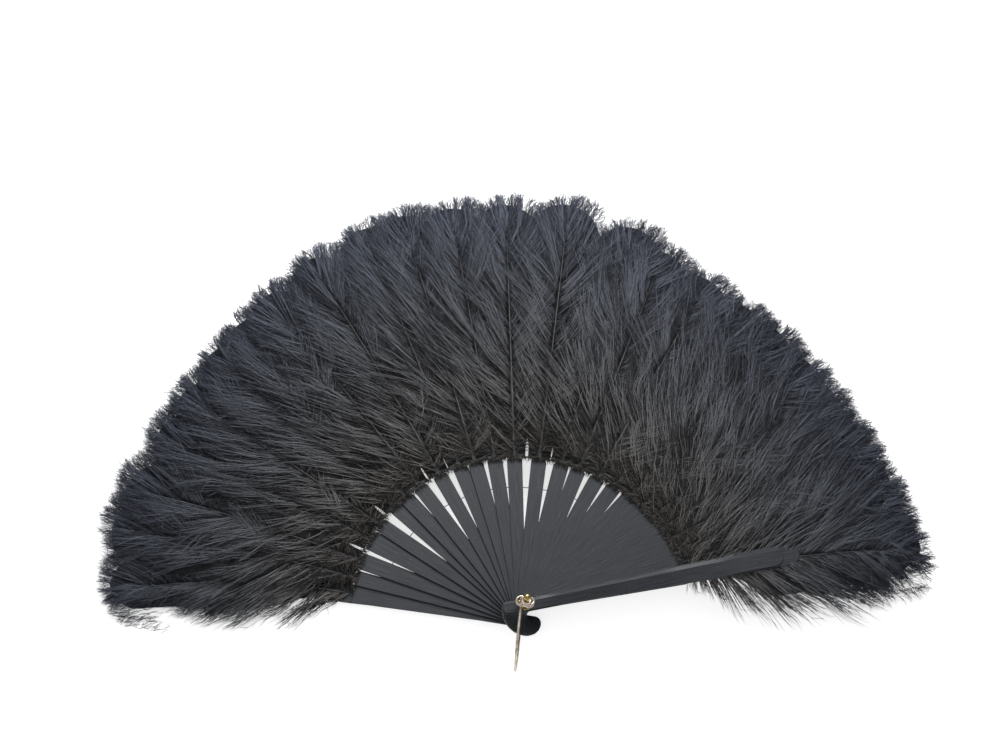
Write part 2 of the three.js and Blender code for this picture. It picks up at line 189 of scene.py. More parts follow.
# The tuft of curled ends that fills a tip
TUFT_CLUMPS = 34
TUFT_EDGE = 0.95  # share of the tip's half width that it fills
TUFT_BIAS = 1.6  # over 1 sets more ends near the outline
TUFT_INSET = (0, 0.003)
TUFT_FAN = 0.8  # how far its outermost ends lean, in radians
TUFT_TURN, TUFT_CURL = (0.2, 0.15), (1.1, 0.7)  # strays of a clump and of one end in it
TUFT_LENGTH_MM, TUFT_RISE_MM = (8, 17), (-1, 2)
TUFT_GIRTHS = (0.7, 1.0)

# The down at a plume's foot
DOWN_BACK = 0.6  # share of it that turns back over the stick's end
DOWN_UNTIL = 0.14  # share of the shaft that the rest grows on
DOWN_START_MM = (-0.5, 2)  # how far before the foot the turned part starts
DOWN_LIFT = 0.0008
DOWN_TURN, DOWN_BEND, DOWN_FAN = 0.7, 0.8, (0.3, 1.8)
DOWN_BACK_MM, DOWN_LENGTH_MM = (2, 7), (8, 20)
DOWN_RISE_MM = (0.6, 1.0)  # mean and spread
DOWN_LOWEST = 0.0005
DOWN_GIRTHS, DOWN_TONE, DOWN_TONES = (0.7, 1.1), 0.7, (1.2, 2)

# The dark sheet inside a plume: painted shade for the matted barbs deep in it
WEB_FOOT = 0.0085  # half its width at the foot
WEB_WIDENS = 0.35  # share of its length over which it widens from there
WEB_LEAVING, WEB_ARRIVING = 0.4, 0.5  # shares of that stretch that its flank's bend leans on
WEB_TIP = 1.5  # how many of its margins it ends before the tip
WEB_THICKNESS = 0.0003
WEB_CELL = 0.010
WEB_DROP = 0.0010  # how far it lies under the shaft
WEB_CLEAR = 0.0005  # between a blade's end and the sheet
WEB_LOWEST = 0.0008
WEB_SAG_AT = 0.031  # where the sheet hangs as far as the barbs' ends
WEB_MAP = (0.05, 0.85)  # its place on the map at the foot, and from there to the tip
WEB_PAINTED_SHADE = (0.04, 0.03, 0.16)  # painted shade at its middle, how that changes across, and how much lighter towards the tip
GUARD_WEB_START = 0.145  # where the sheets on the guards begin
# Half width of the sheet on either side, as shares of the whole at shares of its length
EVEN_WEB = ((0.0, 1.0), (1.0, 1.0))
REAR_WEB = ((0.0, 0.5, 1.0), (0.7, 0.7, 0.6))
FREE_WEB = ((0.0, 0.3, 0.6, 0.85, 1.0), (0.5, 0.9, 0.85, 0.6, 0.5))

# Stage: where the lamps stand and how large they are
KEY_PLACE, KEY_SIZE = (-0.08, 0.8, 0.55), 0.5
FILL_PLACE, FILL_SIZE = (-0.9, -1.1, 2.0), 1.6
FLOOR_HALF = 6  # half its width
FLOOR_DROP = 0.0002  # how far it lies under the fan
FLOOR_LIFT = 0.7  # added to what the camera sees of the floor, so that it looks white

Stick = namedtuple("Stick", "number name plume joint angle back front")
Vane = namedtuple("Vane", "side free lengths spread sag web")
Strands = namedtuple("Strands", "points radii shade distance")


def linear(hex_colour):
    """An sRGB hex value as the linear colour that shaders work in."""
    channels = [int(hex_colour[at:at + 2], 16) / 255 for at in (1, 3, 5)]
    plain = [c / 12.92 if c <= 0.04045 else ((c + 0.055) / 1.055) ** 2.4 for c in channels]
    return (*plain, 1.0)


def length_of(name, description, default):
    return FloatProperty(
        name=name, description=description, default=default, min=0, precision=5, unit="LENGTH"
    )


def count_of(name, description, default):
    return IntProperty(name=name, description=description, default=default, min=1)


def share_of(name, description, default):
    return FloatProperty(
        name=name, description=description, default=default, min=0.01, max=1, subtype="FACTOR"
    )


def colour_of(name, description, default):
    return FloatVectorProperty(
        name=name, description=description, default=linear(default), size=4, min=0, max=1, subtype="COLOR"
    )


class FanWoodSettings(bpy.types.PropertyGroup):
    """Sizes and colours of the sticks and guards"""

    edge: length_of("Guard edge rounding", "Radius worn onto the guards' edges", 0.00028)
    stick_edge: length_of("Stick edge rounding", "Radius worn onto the sticks' edges", 0.00007)
    hole: length_of("Rivet hole", "Radius of the hole for the rivet", 0.00205)
    head_length: length_of("Head length", "From the rivet to the end of the rounded head", 0.0175)
    waist_at: length_of("Waist distance", "From the rivet to the narrowest place", 0.030)
    stick_head: length_of("Stick head half width", "Half the width of a stick's head", 0.0045)
    stick_waist: length_of("Stick waist half width", "Half the width at a stick's waist", 0.0045)
    blade_end: length_of("Blade end", "From the rivet to the blade's shoulders", 0.127)
    shoulder: length_of("Shoulder radius", "Radius of the blade's outer corners", 0.003)
    rib_half: length_of("Rib half width", "Half the width of the rib under the quill", 0.0015)
    guard_head: length_of("Guard head half width", "Half the width of a guard's head", 0.0052)
    guard_waist: length_of("Guard waist half width", "Half the width at a guard's waist", 0.0052)
    guard_half: length_of("Guard half width", "Half the width of a guard's paddle", 0.0086)
    guard_swell_at: length_of("Swell distance", "Place that the guard's flank leans towards", 0.140)
    guard_swell: length_of("Swell half width", "Half the width at that place", 0.0082)
    guard_widest_at: length_of("Paddle start", "From the rivet to the full width", 0.165)
    rebate_start: length_of("Rebate start", "Where the guard is thinned for its quill", 0.126)
    rebate_depth: length_of("Rebate depth", "How much the guard is thinned there", 0.0016)
    plate_end: length_of("Face end", "From the rivet to the round end of the guard's raised face", 0.205)
    ridge_offset: length_of("Ridge offset", "How far the face's ridge starts from the middle line", 0.0016)
    ridge_slant: share_of("Ridge slant", "How fast the ridge leaves the middle line", 0.0145)
    plate_inset: length_of("Face inset", "Ledge left round the raised face", 0.0008)
    plate_height: length_of("Face height", "Height of the raised face at its ridge", 0.0026)
    crown: length_of("Crown", "How far the raised face slopes down to its edges", 0.0023)
    dark: colour_of("Dark grain", "Stain in the pores", "#1f2125")
    light: colour_of("Light grain", "Stain on the hard grain", "#363a40")
    dust: colour_of("Dust", "Specks caught in the wax", "#77797c")


class FanPlumeSettings(bpy.types.PropertyGroup):
    """Sizes and colours of the plumes"""

    barbs: count_of("Barbs", "Barbs on one plume", 1500)
    clumps: count_of("Clumps", "Fine clumps that the barbs of one vane make", 110)
    locks: count_of("Locks", "Wide locks that the clumps of one vane make", 10)
    wisps: count_of("Wisps", "Short fine strands on one plume's barbs", 850)
    tuft: count_of("Tuft", "Short curled ends at one plume's tip", 800)
    fluff: count_of("Down", "Short down at the foot of one plume", 300)
    barb_radius: length_of("Barb radius", "Radius of a barb near its root", 0.00024)
    wisp_radius: length_of("Wisp radius", "Radius of a short fine strand", 0.00021)
    wisp_length: length_of("Wisp length", "Length of a short fine strand", 0.011)
    shaft_radius: length_of("Shaft radius", "Radius of the shaft at its foot", 0.0006)
    fringe: length_of("Tip fringe", "How far the barbs reach past the shaft's end", 0.032)
    lobe_half: length_of("Lobe half width", "Half the width of the round tip", 0.036)
    lobe_depth: length_of("Lobe depth", "How far the round tip falls back at its sides", 0.026)
    lift: length_of("Lift", "How far the highest clumps stand off the plume", 0.0020)
    weave: length_of("Weave", "How far a barb rises and dips among its neighbours", 0.0006)
    # web_margin: how far the dark painted-shade sheet stays inside the outline
    web_margin: length_of("Sheet margin", "How far the matted sheet stays inside the outline", 0.009)
    gather: share_of("Gather", "How far the barbs of a clump draw together", 0.35)
    # fade: how much the strands' painted highlights and shade even out towards the tips
    fade: share_of("Fade", "How much the streaks even out towards the tips", 0.65)
    arch: length_of("Arch", "How far the shaft's middle rises", 0.0015)
    droop: length_of("Droop", "How far the plume's tip hangs down", 0.004)
    sag: length_of("Barb sag", "How far a barb's end hangs down", 0.0012)
    free_sag: length_of("Free sag", "How far the barbs hang on the side that lies over nothing", 0.024)
    rear_sag: length_of("Rear sag", "How far the barbs hang on the rear plume's free side", 0.005)
    rear_bend: length_of("Rear bend", "How far the rear plume's tip leans away from the rest", 0.021)
    front_bend: length_of("Front bend", "How far the front plume's tip leans away from the rest", 0.010)
    kept: share_of("Folded depth", "Share of a plume's depth left in the folded fan", 0.05)
    inner: colour_of("Inner colour", "Dye near the sticks, a little brown", "#4f4d4b")
    middle: colour_of("Middle colour", "Dye half way out", "#4a4c50")
    # the blue of this colour is a painted reflection of the sky on the black tips
    outer: colour_of("Outer colour", "Dye at the tips, a little blue", "#474b56")


class FanMetalSettings(bpy.types.PropertyGroup):
    """Sizes and colours of the pivot and its bail"""

    wire: length_of("Wire radius", "Radius of the bail's wire", 0.0009)
    eye: length_of("Eye radius", "From the rivet's axis to the wire's middle", 0.0030)
    reach: length_of("Bail reach", "From the rivet to the end of the bail", 0.045)
    slack: length_of("Coil slack", "How far the coil's lowest turns stand off the rivet", 0.004)
    turns: count_of("Coil turns", "Turns of the wire under the ball", 3)
    shank: length_of("Shank radius", "Radius of the rivet's shank", 0.0016)
    head_height: length_of("Rear head height", "Thickness of the rivet's rear head", 0.0015)
    head_edge: length_of("Rear head edge", "Radius of the rear head's edge", 0.0004)
    hole: length_of("Washer hole", "Radius of the hole in a washer", 0.00205)
    washer_edge: length_of("Washer edge", "Radius of a washer's edge", 0.0003)
    bore: length_of("Ball bore", "Radius of the hole that takes the rivet's end", 0.0019)
    bore_depth: length_of("Bore depth", "Depth of that hole", 0.0024)
    brass: colour_of("Brass", "Rubbed brass", "#c8b071")
    tarnish: colour_of("Tarnish", "Brown tarnish in the hollows", "#5f5027")
    plating: colour_of("Plating", "Worn pale plating on the wire", "#ddd2c6")
    bare: colour_of("Bare wire", "Metal where the plating is gone", "#a99c8e")


class FanThreadSettings(bpy.types.PropertyGroup):
    """Size and colours of the spacing thread"""

    radius: length_of("Thread radius", "Radius of the thread", 0.0003)
    distance: length_of("Thread distance", "From the rivet to the thread", 0.104)
    below: length_of("Thread drop", "How far the thread lies below the back of a stick", 0.0019)
    beside: length_of("Folded place", "From a stick's middle line to where its slack thread gathers", 0.0084)
    ply: colour_of("Ply", "Waxed black cotton", "#2a2a2b")
    # painted shade for the grooves between the plies
    groove_shade: colour_of("Groove", "Shade between the plies", "#101011")


class FanStageSettings(bpy.types.PropertyGroup):
    """Camera, floor and lamps"""

    elevation: FloatProperty(
        name="Elevation", description="Height of the camera above the horizon",
        default=math.radians(65.06), subtype="ANGLE",
    )
    lean: FloatProperty(
        name="Lean", description="How far the camera leans over about +Y, as the photographed stack does",
        default=math.radians(8.32), subtype="ANGLE",
    )
    camera_distance: length_of("Camera distance", "From the camera to what it looks at", 3)
    lens: FloatProperty(name="Lens", description="Focal length in millimetres", default=141.1, min=1)
    aim: FloatVectorProperty(
        name="Aim", description="Point that the camera looks at", default=(-0.0185, 0.1959, 0.025),
        subtype="TRANSLATION", unit="LENGTH",
    )
    floor: colour_of("Floor", "White paper under the fan", "#f4f4f4")
    sky: share_of("Sky", "Strength of the even light from all round", 0.42)
    key: FloatProperty(
        name="Key", description="Power of the soft lamp beyond the tips", default=10, min=0, unit="POWER"
    )
    fill: FloatProperty(
        name="Fill", description="Power of the lamp over the near side", default=7, min=0, unit="POWER"
    )


# What the frame says about the sticks


def open_sticks():
    """Every stick from the rear guard to the front guard: its nodes, joint, open angle and faces."""
    mounts = {mount["name"]: mount["pos_m"] for mount in frame["record"]["mounts"]}
    rear_angle = math.atan2(mounts["rear_guard_back"][1], mounts["rear_guard_back"][0])
    travels = {joint["name"]: math.radians(joint["range_deg"][1]) for joint in frame["joints"]}
    rows = [("rear_guard", "rear_plume", "fold", rear_angle)]
    for joint in sorted(name for name in travels if name.startswith("fold_")):
        number = joint.removeprefix("fold_")
        rows.append((f"stick_{number}", f"plume_{number}", joint, rear_angle - travels[joint]))
    rows.append(("front_guard", "front_plume", "fold", rear_angle - travels["fold"]))
    faces = [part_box(name) for name, _, _, _ in rows]
    return [Stick(k, *row, low.z, high.z) for k, (row, (low, high)) in enumerate(zip(rows, faces))]


STICKS = open_sticks()


def place_of(stick, z):
    """Where a stick's own frame lies: along its open angle, at height z."""
    return Matrix.Translation((0, 0, z)) @ Matrix.Rotation(stick.angle, 4, "Z")


def span_along(node, angle):
    """How far a node reaches along its stick from the rivet, least and most."""
    along = Vector((math.cos(angle), math.sin(angle), 0))
    reaches = [vertex.co.dot(along) for vertex in frame["nodes"][node].data.vertices]
    return min(reaches), max(reaches)


def half_width(node, angle):
    """The most that a node reaches to either side of its stick's middle line."""
    across = Vector((-math.sin(angle), math.cos(angle), 0))
    return max(abs(vertex.co.dot(across)) for vertex in frame["nodes"][node].data.vertices)


# Meshes and pieces


def arc(centre, radius, start, end, steps=ARC_STEPS):
    turns = np.linspace(math.radians(start), math.radians(end), steps + 1)
    return [(centre[0] + radius * math.cos(t), centre[1] + radius * math.sin(t)) for t in turns]


def bend(start, leaving, arriving, end):
    """Points on a smooth bend between two places, without its first."""
    corners = [Vector((*corner, 0)) for corner in (start, leaving, arriving, end)]
    return [(point.x, point.y) for point in interpolate_bezier(*corners, BEND_STEPS)[1:]]


def mirrored(half):
    """A closed outline from its upper half, which starts and may end on the x axis."""
    return half + [(x, -y) for x, y in reversed(half) if y > 1e-9]


def new_curve(name, dimensions, **settings):
    curve = bpy.data.curves.new(name, "CURVE")
    curve.dimensions = dimensions
    for key, value in settings.items():
        setattr(curve, key, value)
    return curve


def poly_spline(curve, points, cyclic=False):
    spline = curve.splines.new("POLY")
    spline.points.add(len(points) - 1)
    for target, point in zip(spline.points, points):
        target.co = (*point, 0, 1) if len(point) == 2 else (*point, 1)
    spline.use_cyclic_u = cyclic
    return spline


def mesh_of(curve):
    """Turns curve data into a mesh and drops the curve."""
    carrier = bpy.data.objects.new(curve.name, curve)
    bpy.context.scene.collection.objects.link(carrier)
    seen = carrier.evaluated_get(bpy.context.evaluated_depsgraph_get())
    mesh = bpy.data.meshes.new_from_object(seen)
    bpy.data.objects.remove(carrier)
    bpy.data.curves.remove(curve)
    return mesh


def edit(mesh):
    shape = bmesh.new()
    shape.from_mesh(mesh)
    return shape


def store(shape, mesh):
    shape.to_mesh(mesh)
    shape.free()
    return mesh


def closed(shape, gap=1e-6):
    """Merges doubles and points the faces outwards."""
    bmesh.ops.remove_doubles(shape, verts=shape.verts, dist=gap)
    bmesh.ops.recalc_face_normals(shape, faces=shape.faces)


def add_piece(name, mesh, body, material, slot, *replaced):
    mesh.materials.clear()
    mesh.materials.append(material)
    piece = bpy.data.objects.new(name, mesh)
    bpy.context.scene.collection.objects.link(piece)
    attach(piece, body)
    if replaced:
        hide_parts(*replaced)
    return piece


def smooth_by_angle(mesh, degrees):
    mesh.shade_smooth()
    mesh.set_sharp_from_angle(angle=math.radians(degrees))


# Materials


def new_material(name):
    material = bpy.data.materials.get(name) or bpy.data.materials.new(name)
    material.use_nodes = True
    return material, material.node_tree, material.node_tree.nodes["Principled BSDF"]


def add_node(tree, kind, links, sockets, stops=(), **settings):
    """Adds one node: links feed its sockets, sockets have values, stops are a ramp's places and
    colours, and settings are its own properties."""
    added = tree.nodes.new("ShaderNode" + kind)
    for name, value in settings.items():
        setattr(added, name, value)
    for name, value in sockets.items():
        added.inputs[name].default_value = value
    for name, source in links.items():
        tree.links.new(source, added.inputs[name])
    if stops:
        for element, (place, colour) in zip(added.color_ramp.elements, (stops[0], stops[-1])):
            element.position = place
            element.color = colour
        for place, colour in stops[1:-1]:
            added.color_ramp.elements.new(place).color = colour
    return added


def ebonised_wood(wood):
    """Pearwood, planed, stained black and waxed: a satin grey-black with fine streaks along the
    stick, pores a little darker, and pale dust specks caught in the wax."""
    material, tree, shader = new_material("ebonised_pearwood_waxed")
    streak_width, streak_length, speck = 0.5 * MM, 24 * MM, 1.6 * MM
    grain_map = add_node(tree, "UVMap", {}, {}, uv_map="grain")
    stretch = add_node(
        tree, "Mapping", {"Vector": grain_map.outputs["UV"]},
        {"Scale": (1 / streak_length, 1 / streak_width, 1)},
    )
    grain = add_node(
        tree, "TexNoise", {"Vector": stretch.outputs["Vector"]},
        {"Scale": 1, "Detail": 4, "Roughness": 0.6},
    )
    tones = add_node(
        tree, "ValToRGB", {"Fac": grain.outputs["Fac"]}, {}, stops=((0.4, wood.dark), (0.64, wood.light))
    )
    dust = add_node(
        tree, "TexNoise", {"Vector": grain_map.outputs["UV"]},
        {"Scale": 1 / speck, "Detail": 2, "Roughness": 0.7},
    )
    specks = add_node(
        tree, "MapRange", {"Value": dust.outputs["Fac"]},
        {"From Min": 0.64, "From Max": 0.78, "To Min": 0, "To Max": 0.5},
    )
    dusted = add_node(
        tree, "MixRGB", {"Fac": specks.outputs["Result"], "Color1": tones.outputs["Color"]},
        {"Color2": wood.dust},
    )
    polish = add_node(
        tree, "MapRange", {"Value": grain.outputs["Fac"]},
        {"From Min": 0.3, "From Max": 0.7, "To Min": 0.56, "To Max": 0.42},
    )
    pores = add_node(
        tree, "Bump", {"Height": grain.outputs["Fac"]}, {"Strength": 0.25, "Distance": 0.06 * MM}
    )
    tree.links.new(dusted.outputs["Color"], shader.inputs["Base Color"])
    tree.links.new(polish.outputs["Result"], shader.inputs["Roughness"])
    tree.links.new(pores.outputs["Normal"], shader.inputs["Normal"])
    shader.inputs["Specular IOR Level"].default_value = 0.36
    return material


def dyed_plume(plume):
    """Ostrich plume, dyed black and steamed: matt soft barbs, warm near the sticks and with a painted blue of the
    sky's reflection at the tips, each barb painted lighter or darker than the next as highlight and shade."""
    material, tree, shader = new_material("ostrich_plume_dyed_black")
    lay = add_node(tree, "UVMap", {}, {}, uv_map="OFBake")
    shares = add_node(tree, "SeparateXYZ", {"Vector": lay.outputs["UV"]}, {})
    dye = add_node(
        tree, "ValToRGB", {"Fac": shares.outputs["Y"]}, {},
        stops=((0.08, plume.inner), (0.5, plume.middle), (0.92, plume.outer)),
    )
    # painted highlight and painted shade of each strand, from the map's shade
    shade = add_node(
        tree, "MapRange", {"Value": shares.outputs["X"]},
        {"From Min": 0, "From Max": 1, "To Min": 0.1, "To Max": 2.75},
    )
    barb = add_node(
        tree, "HueSaturation", {"Color": dye.outputs["Color"], "Value": shade.outputs["Result"]}, {}
    )
    tree.links.new(barb.outputs["Color"], shader.inputs["Base Color"])
    shader.inputs["Roughness"].default_value = 0.62
    shader.inputs["Specular IOR Level"].default_value = 0.1
    return material


def blotched_metal(name, bright, dull, blotch, shine):
    """A metal with blotches of a duller tone, which are rougher too."""
    material, tree, shader = new_material(name)
    place = add_node(tree, "TexCoord", {}, {})
    cloud = add_node(
        tree, "TexNoise", {"Vector": place.outputs["Object"]},
        {"Scale": 1 / blotch, "Detail": 5, "Roughness": 0.65},
    )
    tones = add_node(
        tree, "ValToRGB", {"Fac": cloud.outputs["Fac"]}, {}, stops=((0.38, dull), (0.6, bright))
    )
    rough = add_node(
        tree, "MapRange", {"Value": cloud.outputs["Fac"]},
        {"From Min": 0.35, "From Max": 0.65, "To Min": shine + 0.25, "To Max": shine},
    )
    pits = add_node(
        tree, "Bump", {"Height": cloud.outputs["Fac"]}, {"Strength": 0.3, "Distance": 0.05 * MM}
    )
    tree.links.new(tones.outputs["Color"], shader.inputs["Base Color"])
    tree.links.new(rough.outputs["Result"], shader.inputs["Roughness"])
    tree.links.new(pits.outputs["Normal"], shader.inputs["Normal"])
    shader.inputs["Metallic"].default_value = 1
    return material


def old_brass(metal):
    """Cast brass, turned and long handled: golden on the rubbed crowns, brown in blotches."""
    return blotched_metal("brass_turned_tarnished", metal.brass, metal.tarnish, 2.2 * MM, 0.24)


def bail_wire(metal):
    """Drawn wire with a worn pale plating: beige, rubbed down to a duller metal in patches."""
    return blotched_metal("plated_wire_drawn_worn", metal.plating, metal.bare, 3.0 * MM, 0.3)


def waxed_thread(thread):
    """Cotton, twisted and waxed black: a dull mottle of painted shade for the grooves and lighter plies."""
    material, tree, shader = new_material("cotton_thread_waxed")
    place = add_node(tree, "TexCoord", {}, {})
    plies = add_node(
        tree, "TexNoise", {"Vector": place.outputs["Object"]},
        {"Scale": 1 / (2 * thread.radius), "Detail": 1},
    )
    tones = add_node(
        tree, "ValToRGB", {"Fac": plies.outputs["Fac"]}, {}, stops=((0.4, thread.groove_shade), (0.6, thread.ply))
    )
    tree.links.new(tones.outputs["Color"], shader.inputs["Base Color"])
    shader.inputs["Roughness"].default_value = 0.7
    return material


def floor_paper(stage):
    """Matt white paper. It looks pure white in the light and keeps the fan's shadow."""
    material, tree, shader = new_material("paper_white_matt")
    shader.inputs["Base Color"].default_value = stage.floor
    shader.inputs["Roughness"].default_value = 0.9
    shader.inputs["Emission Color"].default_value = (1, 1, 1, 1)
    rays = add_node(tree, "LightPath", {}, {})
    seen = add_node(
        tree, "Math", {0: rays.outputs["Is Camera Ray"], 1: rays.outputs["Is Glossy Ray"]}, {},
        operation="MAXIMUM",
    )
    lift = add_node(tree, "Math", {0: seen.outputs["Value"]}, {1: FLOOR_LIFT}, operation="MULTIPLY")
    tree.links.new(lift.outputs["Value"], shader.inputs["Emission Strength"])
    return material


# Wood


def slab(name, outline, hole_radius, thickness, edge):
    """A flat piece of wood from z = 0 up, with rounded edges and a round hole for the rivet."""
    curve = new_curve(
        name, "2D", fill_mode="BOTH", extrude=thickness / 2 - edge, bevel_depth=edge,
        bevel_resolution=1, offset=-edge,
    )
    poly_spline(curve, outline, cyclic=True)
    poly_spline(curve, arc((0, 0), hole_radius, 0, 360, 2 * ARC_STEPS)[:-1], cyclic=True)
    shape = edit(mesh_of(curve))
    closed(shape)
    bmesh.ops.translate(shape, verts=shape.verts, vec=UP * thickness / 2)
    return shape


def flank(start, waist_at, head, waist):
    """The bend between the half widths of a head and a waist."""
    return bend(start, (waist_at * HEAD_BEND, head), (waist_at * WAIST_BEND, waist), (waist_at, waist))


def stick_half(wood, rib_end, blade_half):
    """Upper half of a stick's outline: head, waist, blade, shoulder and rib."""
    half = arc((wood.stick_head - wood.head_length, 0), wood.stick_head, 180, 90)
    half += flank(half[-1], wood.waist_at, wood.stick_head, wood.stick_waist)
    half += arc((wood.blade_end - wood.shoulder, blade_half - wood.shoulder), wood.shoulder, 90, 0)
    half += [(wood.blade_end, wood.rib_half), (rib_end, wood.rib_half)]
    return half


def guard_half(wood, inset, end):
    """Upper half of a guard's outline, or of its raised face, which is inset all round."""
    head, waist, widest = wood.guard_head - inset, wood.guard_waist - inset, wood.guard_half - inset
    half = arc((wood.guard_head - wood.head_length, 0), head, 180, 90)
    half += flank(half[-1], wood.waist_at, head, waist)
    lean = Vector((wood.guard_swell_at, wood.guard_swell - inset))
    start = Vector((wood.waist_at, waist))
    full = Vector((wood.guard_widest_at, widest))
    half += bend(start, start.lerp(lean, 2 / 3), full.lerp(lean, 2 / 3), full)
    half += arc((end - widest, 0), widest, 90, 0)
    return half


def cut(shape, spots, direction):
    """Cuts new edges across a shape at distances along a direction."""
    for spot in spots:
        everything = shape.verts[:] + shape.edges[:] + shape.faces[:]
        bmesh.ops.bisect_plane(shape, geom=everything, plane_co=direction * spot, plane_no=direction)


def guard_base(wood, thickness, end):
    """The guard's lower layer, thinned on its inner face where the quill is let in. Past there its top
    is higher, and it forms the ledge round the end of the raised face."""
    shape = slab("guard_base", mirrored(guard_half(wood, 0, end)), wood.hole, thickness, wood.edge)
    steps = (wood.rebate_start - LEDGE_RUN, wood.rebate_start, PADDLE_FROM * end, PADDLE_FULL * end)
    heights = (thickness, LEDGE_LOW, LEDGE_LOW, LEDGE_HIGH)
    cut(shape, (*steps, wood.rebate_start + wood.edge), ALONG)
    for vertex in shape.verts:
        bottom = wood.rebate_depth if vertex.co.x > wood.rebate_start + wood.edge / 2 else 0
        top = np.interp(vertex.co.x, steps, heights)
        vertex.co.z = bottom + (top - bottom) * vertex.co.z / thickness
    return shape


def guard_face(wood, base, end):
    """The raised face on a guard: a low roof along the shank that flattens towards the paddle."""
    half = guard_half(wood, wood.plate_inset, wood.plate_end)
    shape = slab("guard_face", mirrored(half), wood.hole, wood.plate_height, wood.edge)
    cut(shape, [wood.ridge_offset], ACROSS - ALONG * wood.ridge_slant)
    cut(shape, np.arange(FACE_CELL_START, wood.plate_end, FACE_CELL), ALONG)
    along, across = np.array(half).T
    ledge = (wood.rebate_start - LEDGE_RUN, wood.rebate_start)
    steps = (ROOF_FROM, ROOF_FULL, *ledge, PADDLE_FROM * end, PADDLE_FULL * end)
    for vertex in shape.verts:
        x, y, z = vertex.co
        ridge = wood.ridge_offset + wood.ridge_slant * x
        room = max(np.interp(x, along, across), MM)
        share = (y - ridge) / (room - ridge) if y > ridge else (ridge - y) / (room + ridge)
        fall = wood.crown * np.interp(x, steps, ROOF_SLOPE) * min(max(share, 0), 1)
        low = wood.rebate_depth - base + wood.edge if x > wood.rebate_start else 0
        vertex.co.z = max(z - fall * z / wood.plate_height, low)
    bmesh.ops.translate(shape, verts=shape.verts, vec=UP * base)
    return shape


def finish_wood(shape, mesh, stick, z):
    """Gives a wooden shape its grain map, along the stick, and sets it in its place."""
    grain = shape.loops.layers.uv.new("grain")
    for face in shape.faces:
        for corner in face.loops:
            corner[grain].uv = corner.vert.co.xy + Vector((stick.number, 0)) * GRAIN_SHIFT
    bmesh.ops.transform(shape, matrix=place_of(stick, z), verts=shape.verts)
    store(shape, mesh)
    smooth_by_angle(mesh, FLAT_ANGLE)
    return mesh


def make_sticks(context):
    wood = context.scene.fan_wood
    material = ebonised_wood(wood)
    for stick in STICKS[1:-1]:
        rib_end = span_along(stick.name, stick.angle)[1]
        outline = mirrored(stick_half(wood, rib_end, half_width(stick.name, stick.angle)))
        shape = slab(stick.name, outline, wood.hole, stick.front - stick.back, wood.stick_edge)
        mesh = finish_wood(shape, bpy.data.meshes.new(stick.name), stick, stick.back)
        add_piece(f"{stick.name}_blade", mesh, stick.name, material, "ebonised_wood", stick.name)


def make_guards(context):
    wood = context.scene.fan_wood
    material = ebonised_wood(wood)
    for stick, outward in ((STICKS[0], -1), (STICKS[-1], 1)):
        end = span_along(stick.name, stick.angle)[1]
        thickness = stick.front - stick.back
        base = thickness - wood.plate_height
        shape = guard_base(wood, base + wood.edge, end)
        face = bpy.data.meshes.new("face")
        shape.from_mesh(store(guard_face(wood, base, end), face))
        if outward < 0:
            bmesh.ops.scale(shape, vec=(1, 1, -1), verts=shape.verts)
            bmesh.ops.translate(shape, vec=UP * thickness, verts=shape.verts)
            bmesh.ops.reverse_faces(shape, faces=shape.faces)
        mesh = finish_wood(shape, bpy.data.meshes.new(stick.name), stick, stick.back)
        add_piece(f"{stick.name}_wood", mesh, stick.name, material, "ebonised_wood", stick.name)


# Plumes


def strand_profile():
    """The three-sided section that every strand is drawn with."""
    curve = new_curve("strand_profile", "2D")
    poly_spline(curve, arc((0, 0), 1, 360, 0, STRAND_SIDES)[:-1], cyclic=True)
    profile = bpy.data.objects.new("strand_profile", curve)
    bpy.context.scene.collection.objects.link(profile)
    return profile


def strand_mesh(groups, profile, fade):
    """All the strands of a plume as closed tubes, with a map of each strand's painted tone of light and shade and
    its distance.
    """
    curve = new_curve("strands", "3D", bevel_mode="OBJECT", bevel_object=profile)
    for group in groups:
        for points, radii in zip(group.points, group.radii):
            spline = curve.splines.new("POLY")
            spline.points.add(len(points) - 1)
            spline.points.foreach_set("co", np.append(points, np.ones((len(points), 1)), axis=1).ravel())
            spline.points.foreach_set("radius", radii)
    mesh = mesh_of(curve)
    sides = np.arange(STRAND_SIDES)
    across, up = [], []
    for group in groups:
        # the strands' painted highlights and shade, evened out towards the tips
        contrast = CONTRAST * (1 - fade * group.distance)
        tone = np.clip(MID_TONE + contrast * (group.shade - MID_TONE), 0, 1)
        across.append((MAP_SHADE[0] + MAP_SHADE[1] * tone[:, :, None] + MAP_SIDE * sides).ravel())
        up.append((group.distance[:, :, None] + MAP_CORNER * (sides == 1)).ravel())
    lay = np.stack([np.concatenate(across), np.concatenate(up)], axis=1)
    corners = np.empty(len(mesh.loops), np.int32)
    mesh.loops.foreach_get("vertex_index", corners)
    mesh.uv_layers[0].name = "OFBake"
    mesh.uv_layers["OFBake"].uv.foreach_set("vector", lay[corners].astype(np.float32).ravel())
    return mesh


def vanes_of(stick, plume):
    """The left and right vane of a plume. The fan's outermost two lie over nothing and hang free."""
    left = Vane(1, False, EVEN_LENGTH, 1, plume.sag, EVEN_WEB)
    right = Vane(-1, False, EVEN_LENGTH, 1, plume.sag, EVEN_WEB)
    if stick is STICKS[0]:
        left = Vane(1, True, REAR_LENGTH, REAR_SPREAD, plume.rear_sag, REAR_WEB)
    if stick is STICKS[-1]:
        right = Vane(-1, True, FREE_LENGTH, FREE_SPREAD, plume.free_sag, FREE_WEB)
    return left, right


def lean_of(stick, plume):
    """How far a plume's tip leans sideways; the outermost plumes fan out beyond their guards."""
    from_rear, from_front = stick.number, len(STICKS) - 1 - stick.number
    return plume.rear_bend * REAR_EASE ** from_rear - plume.front_bend * FRONT_EASE ** from_front


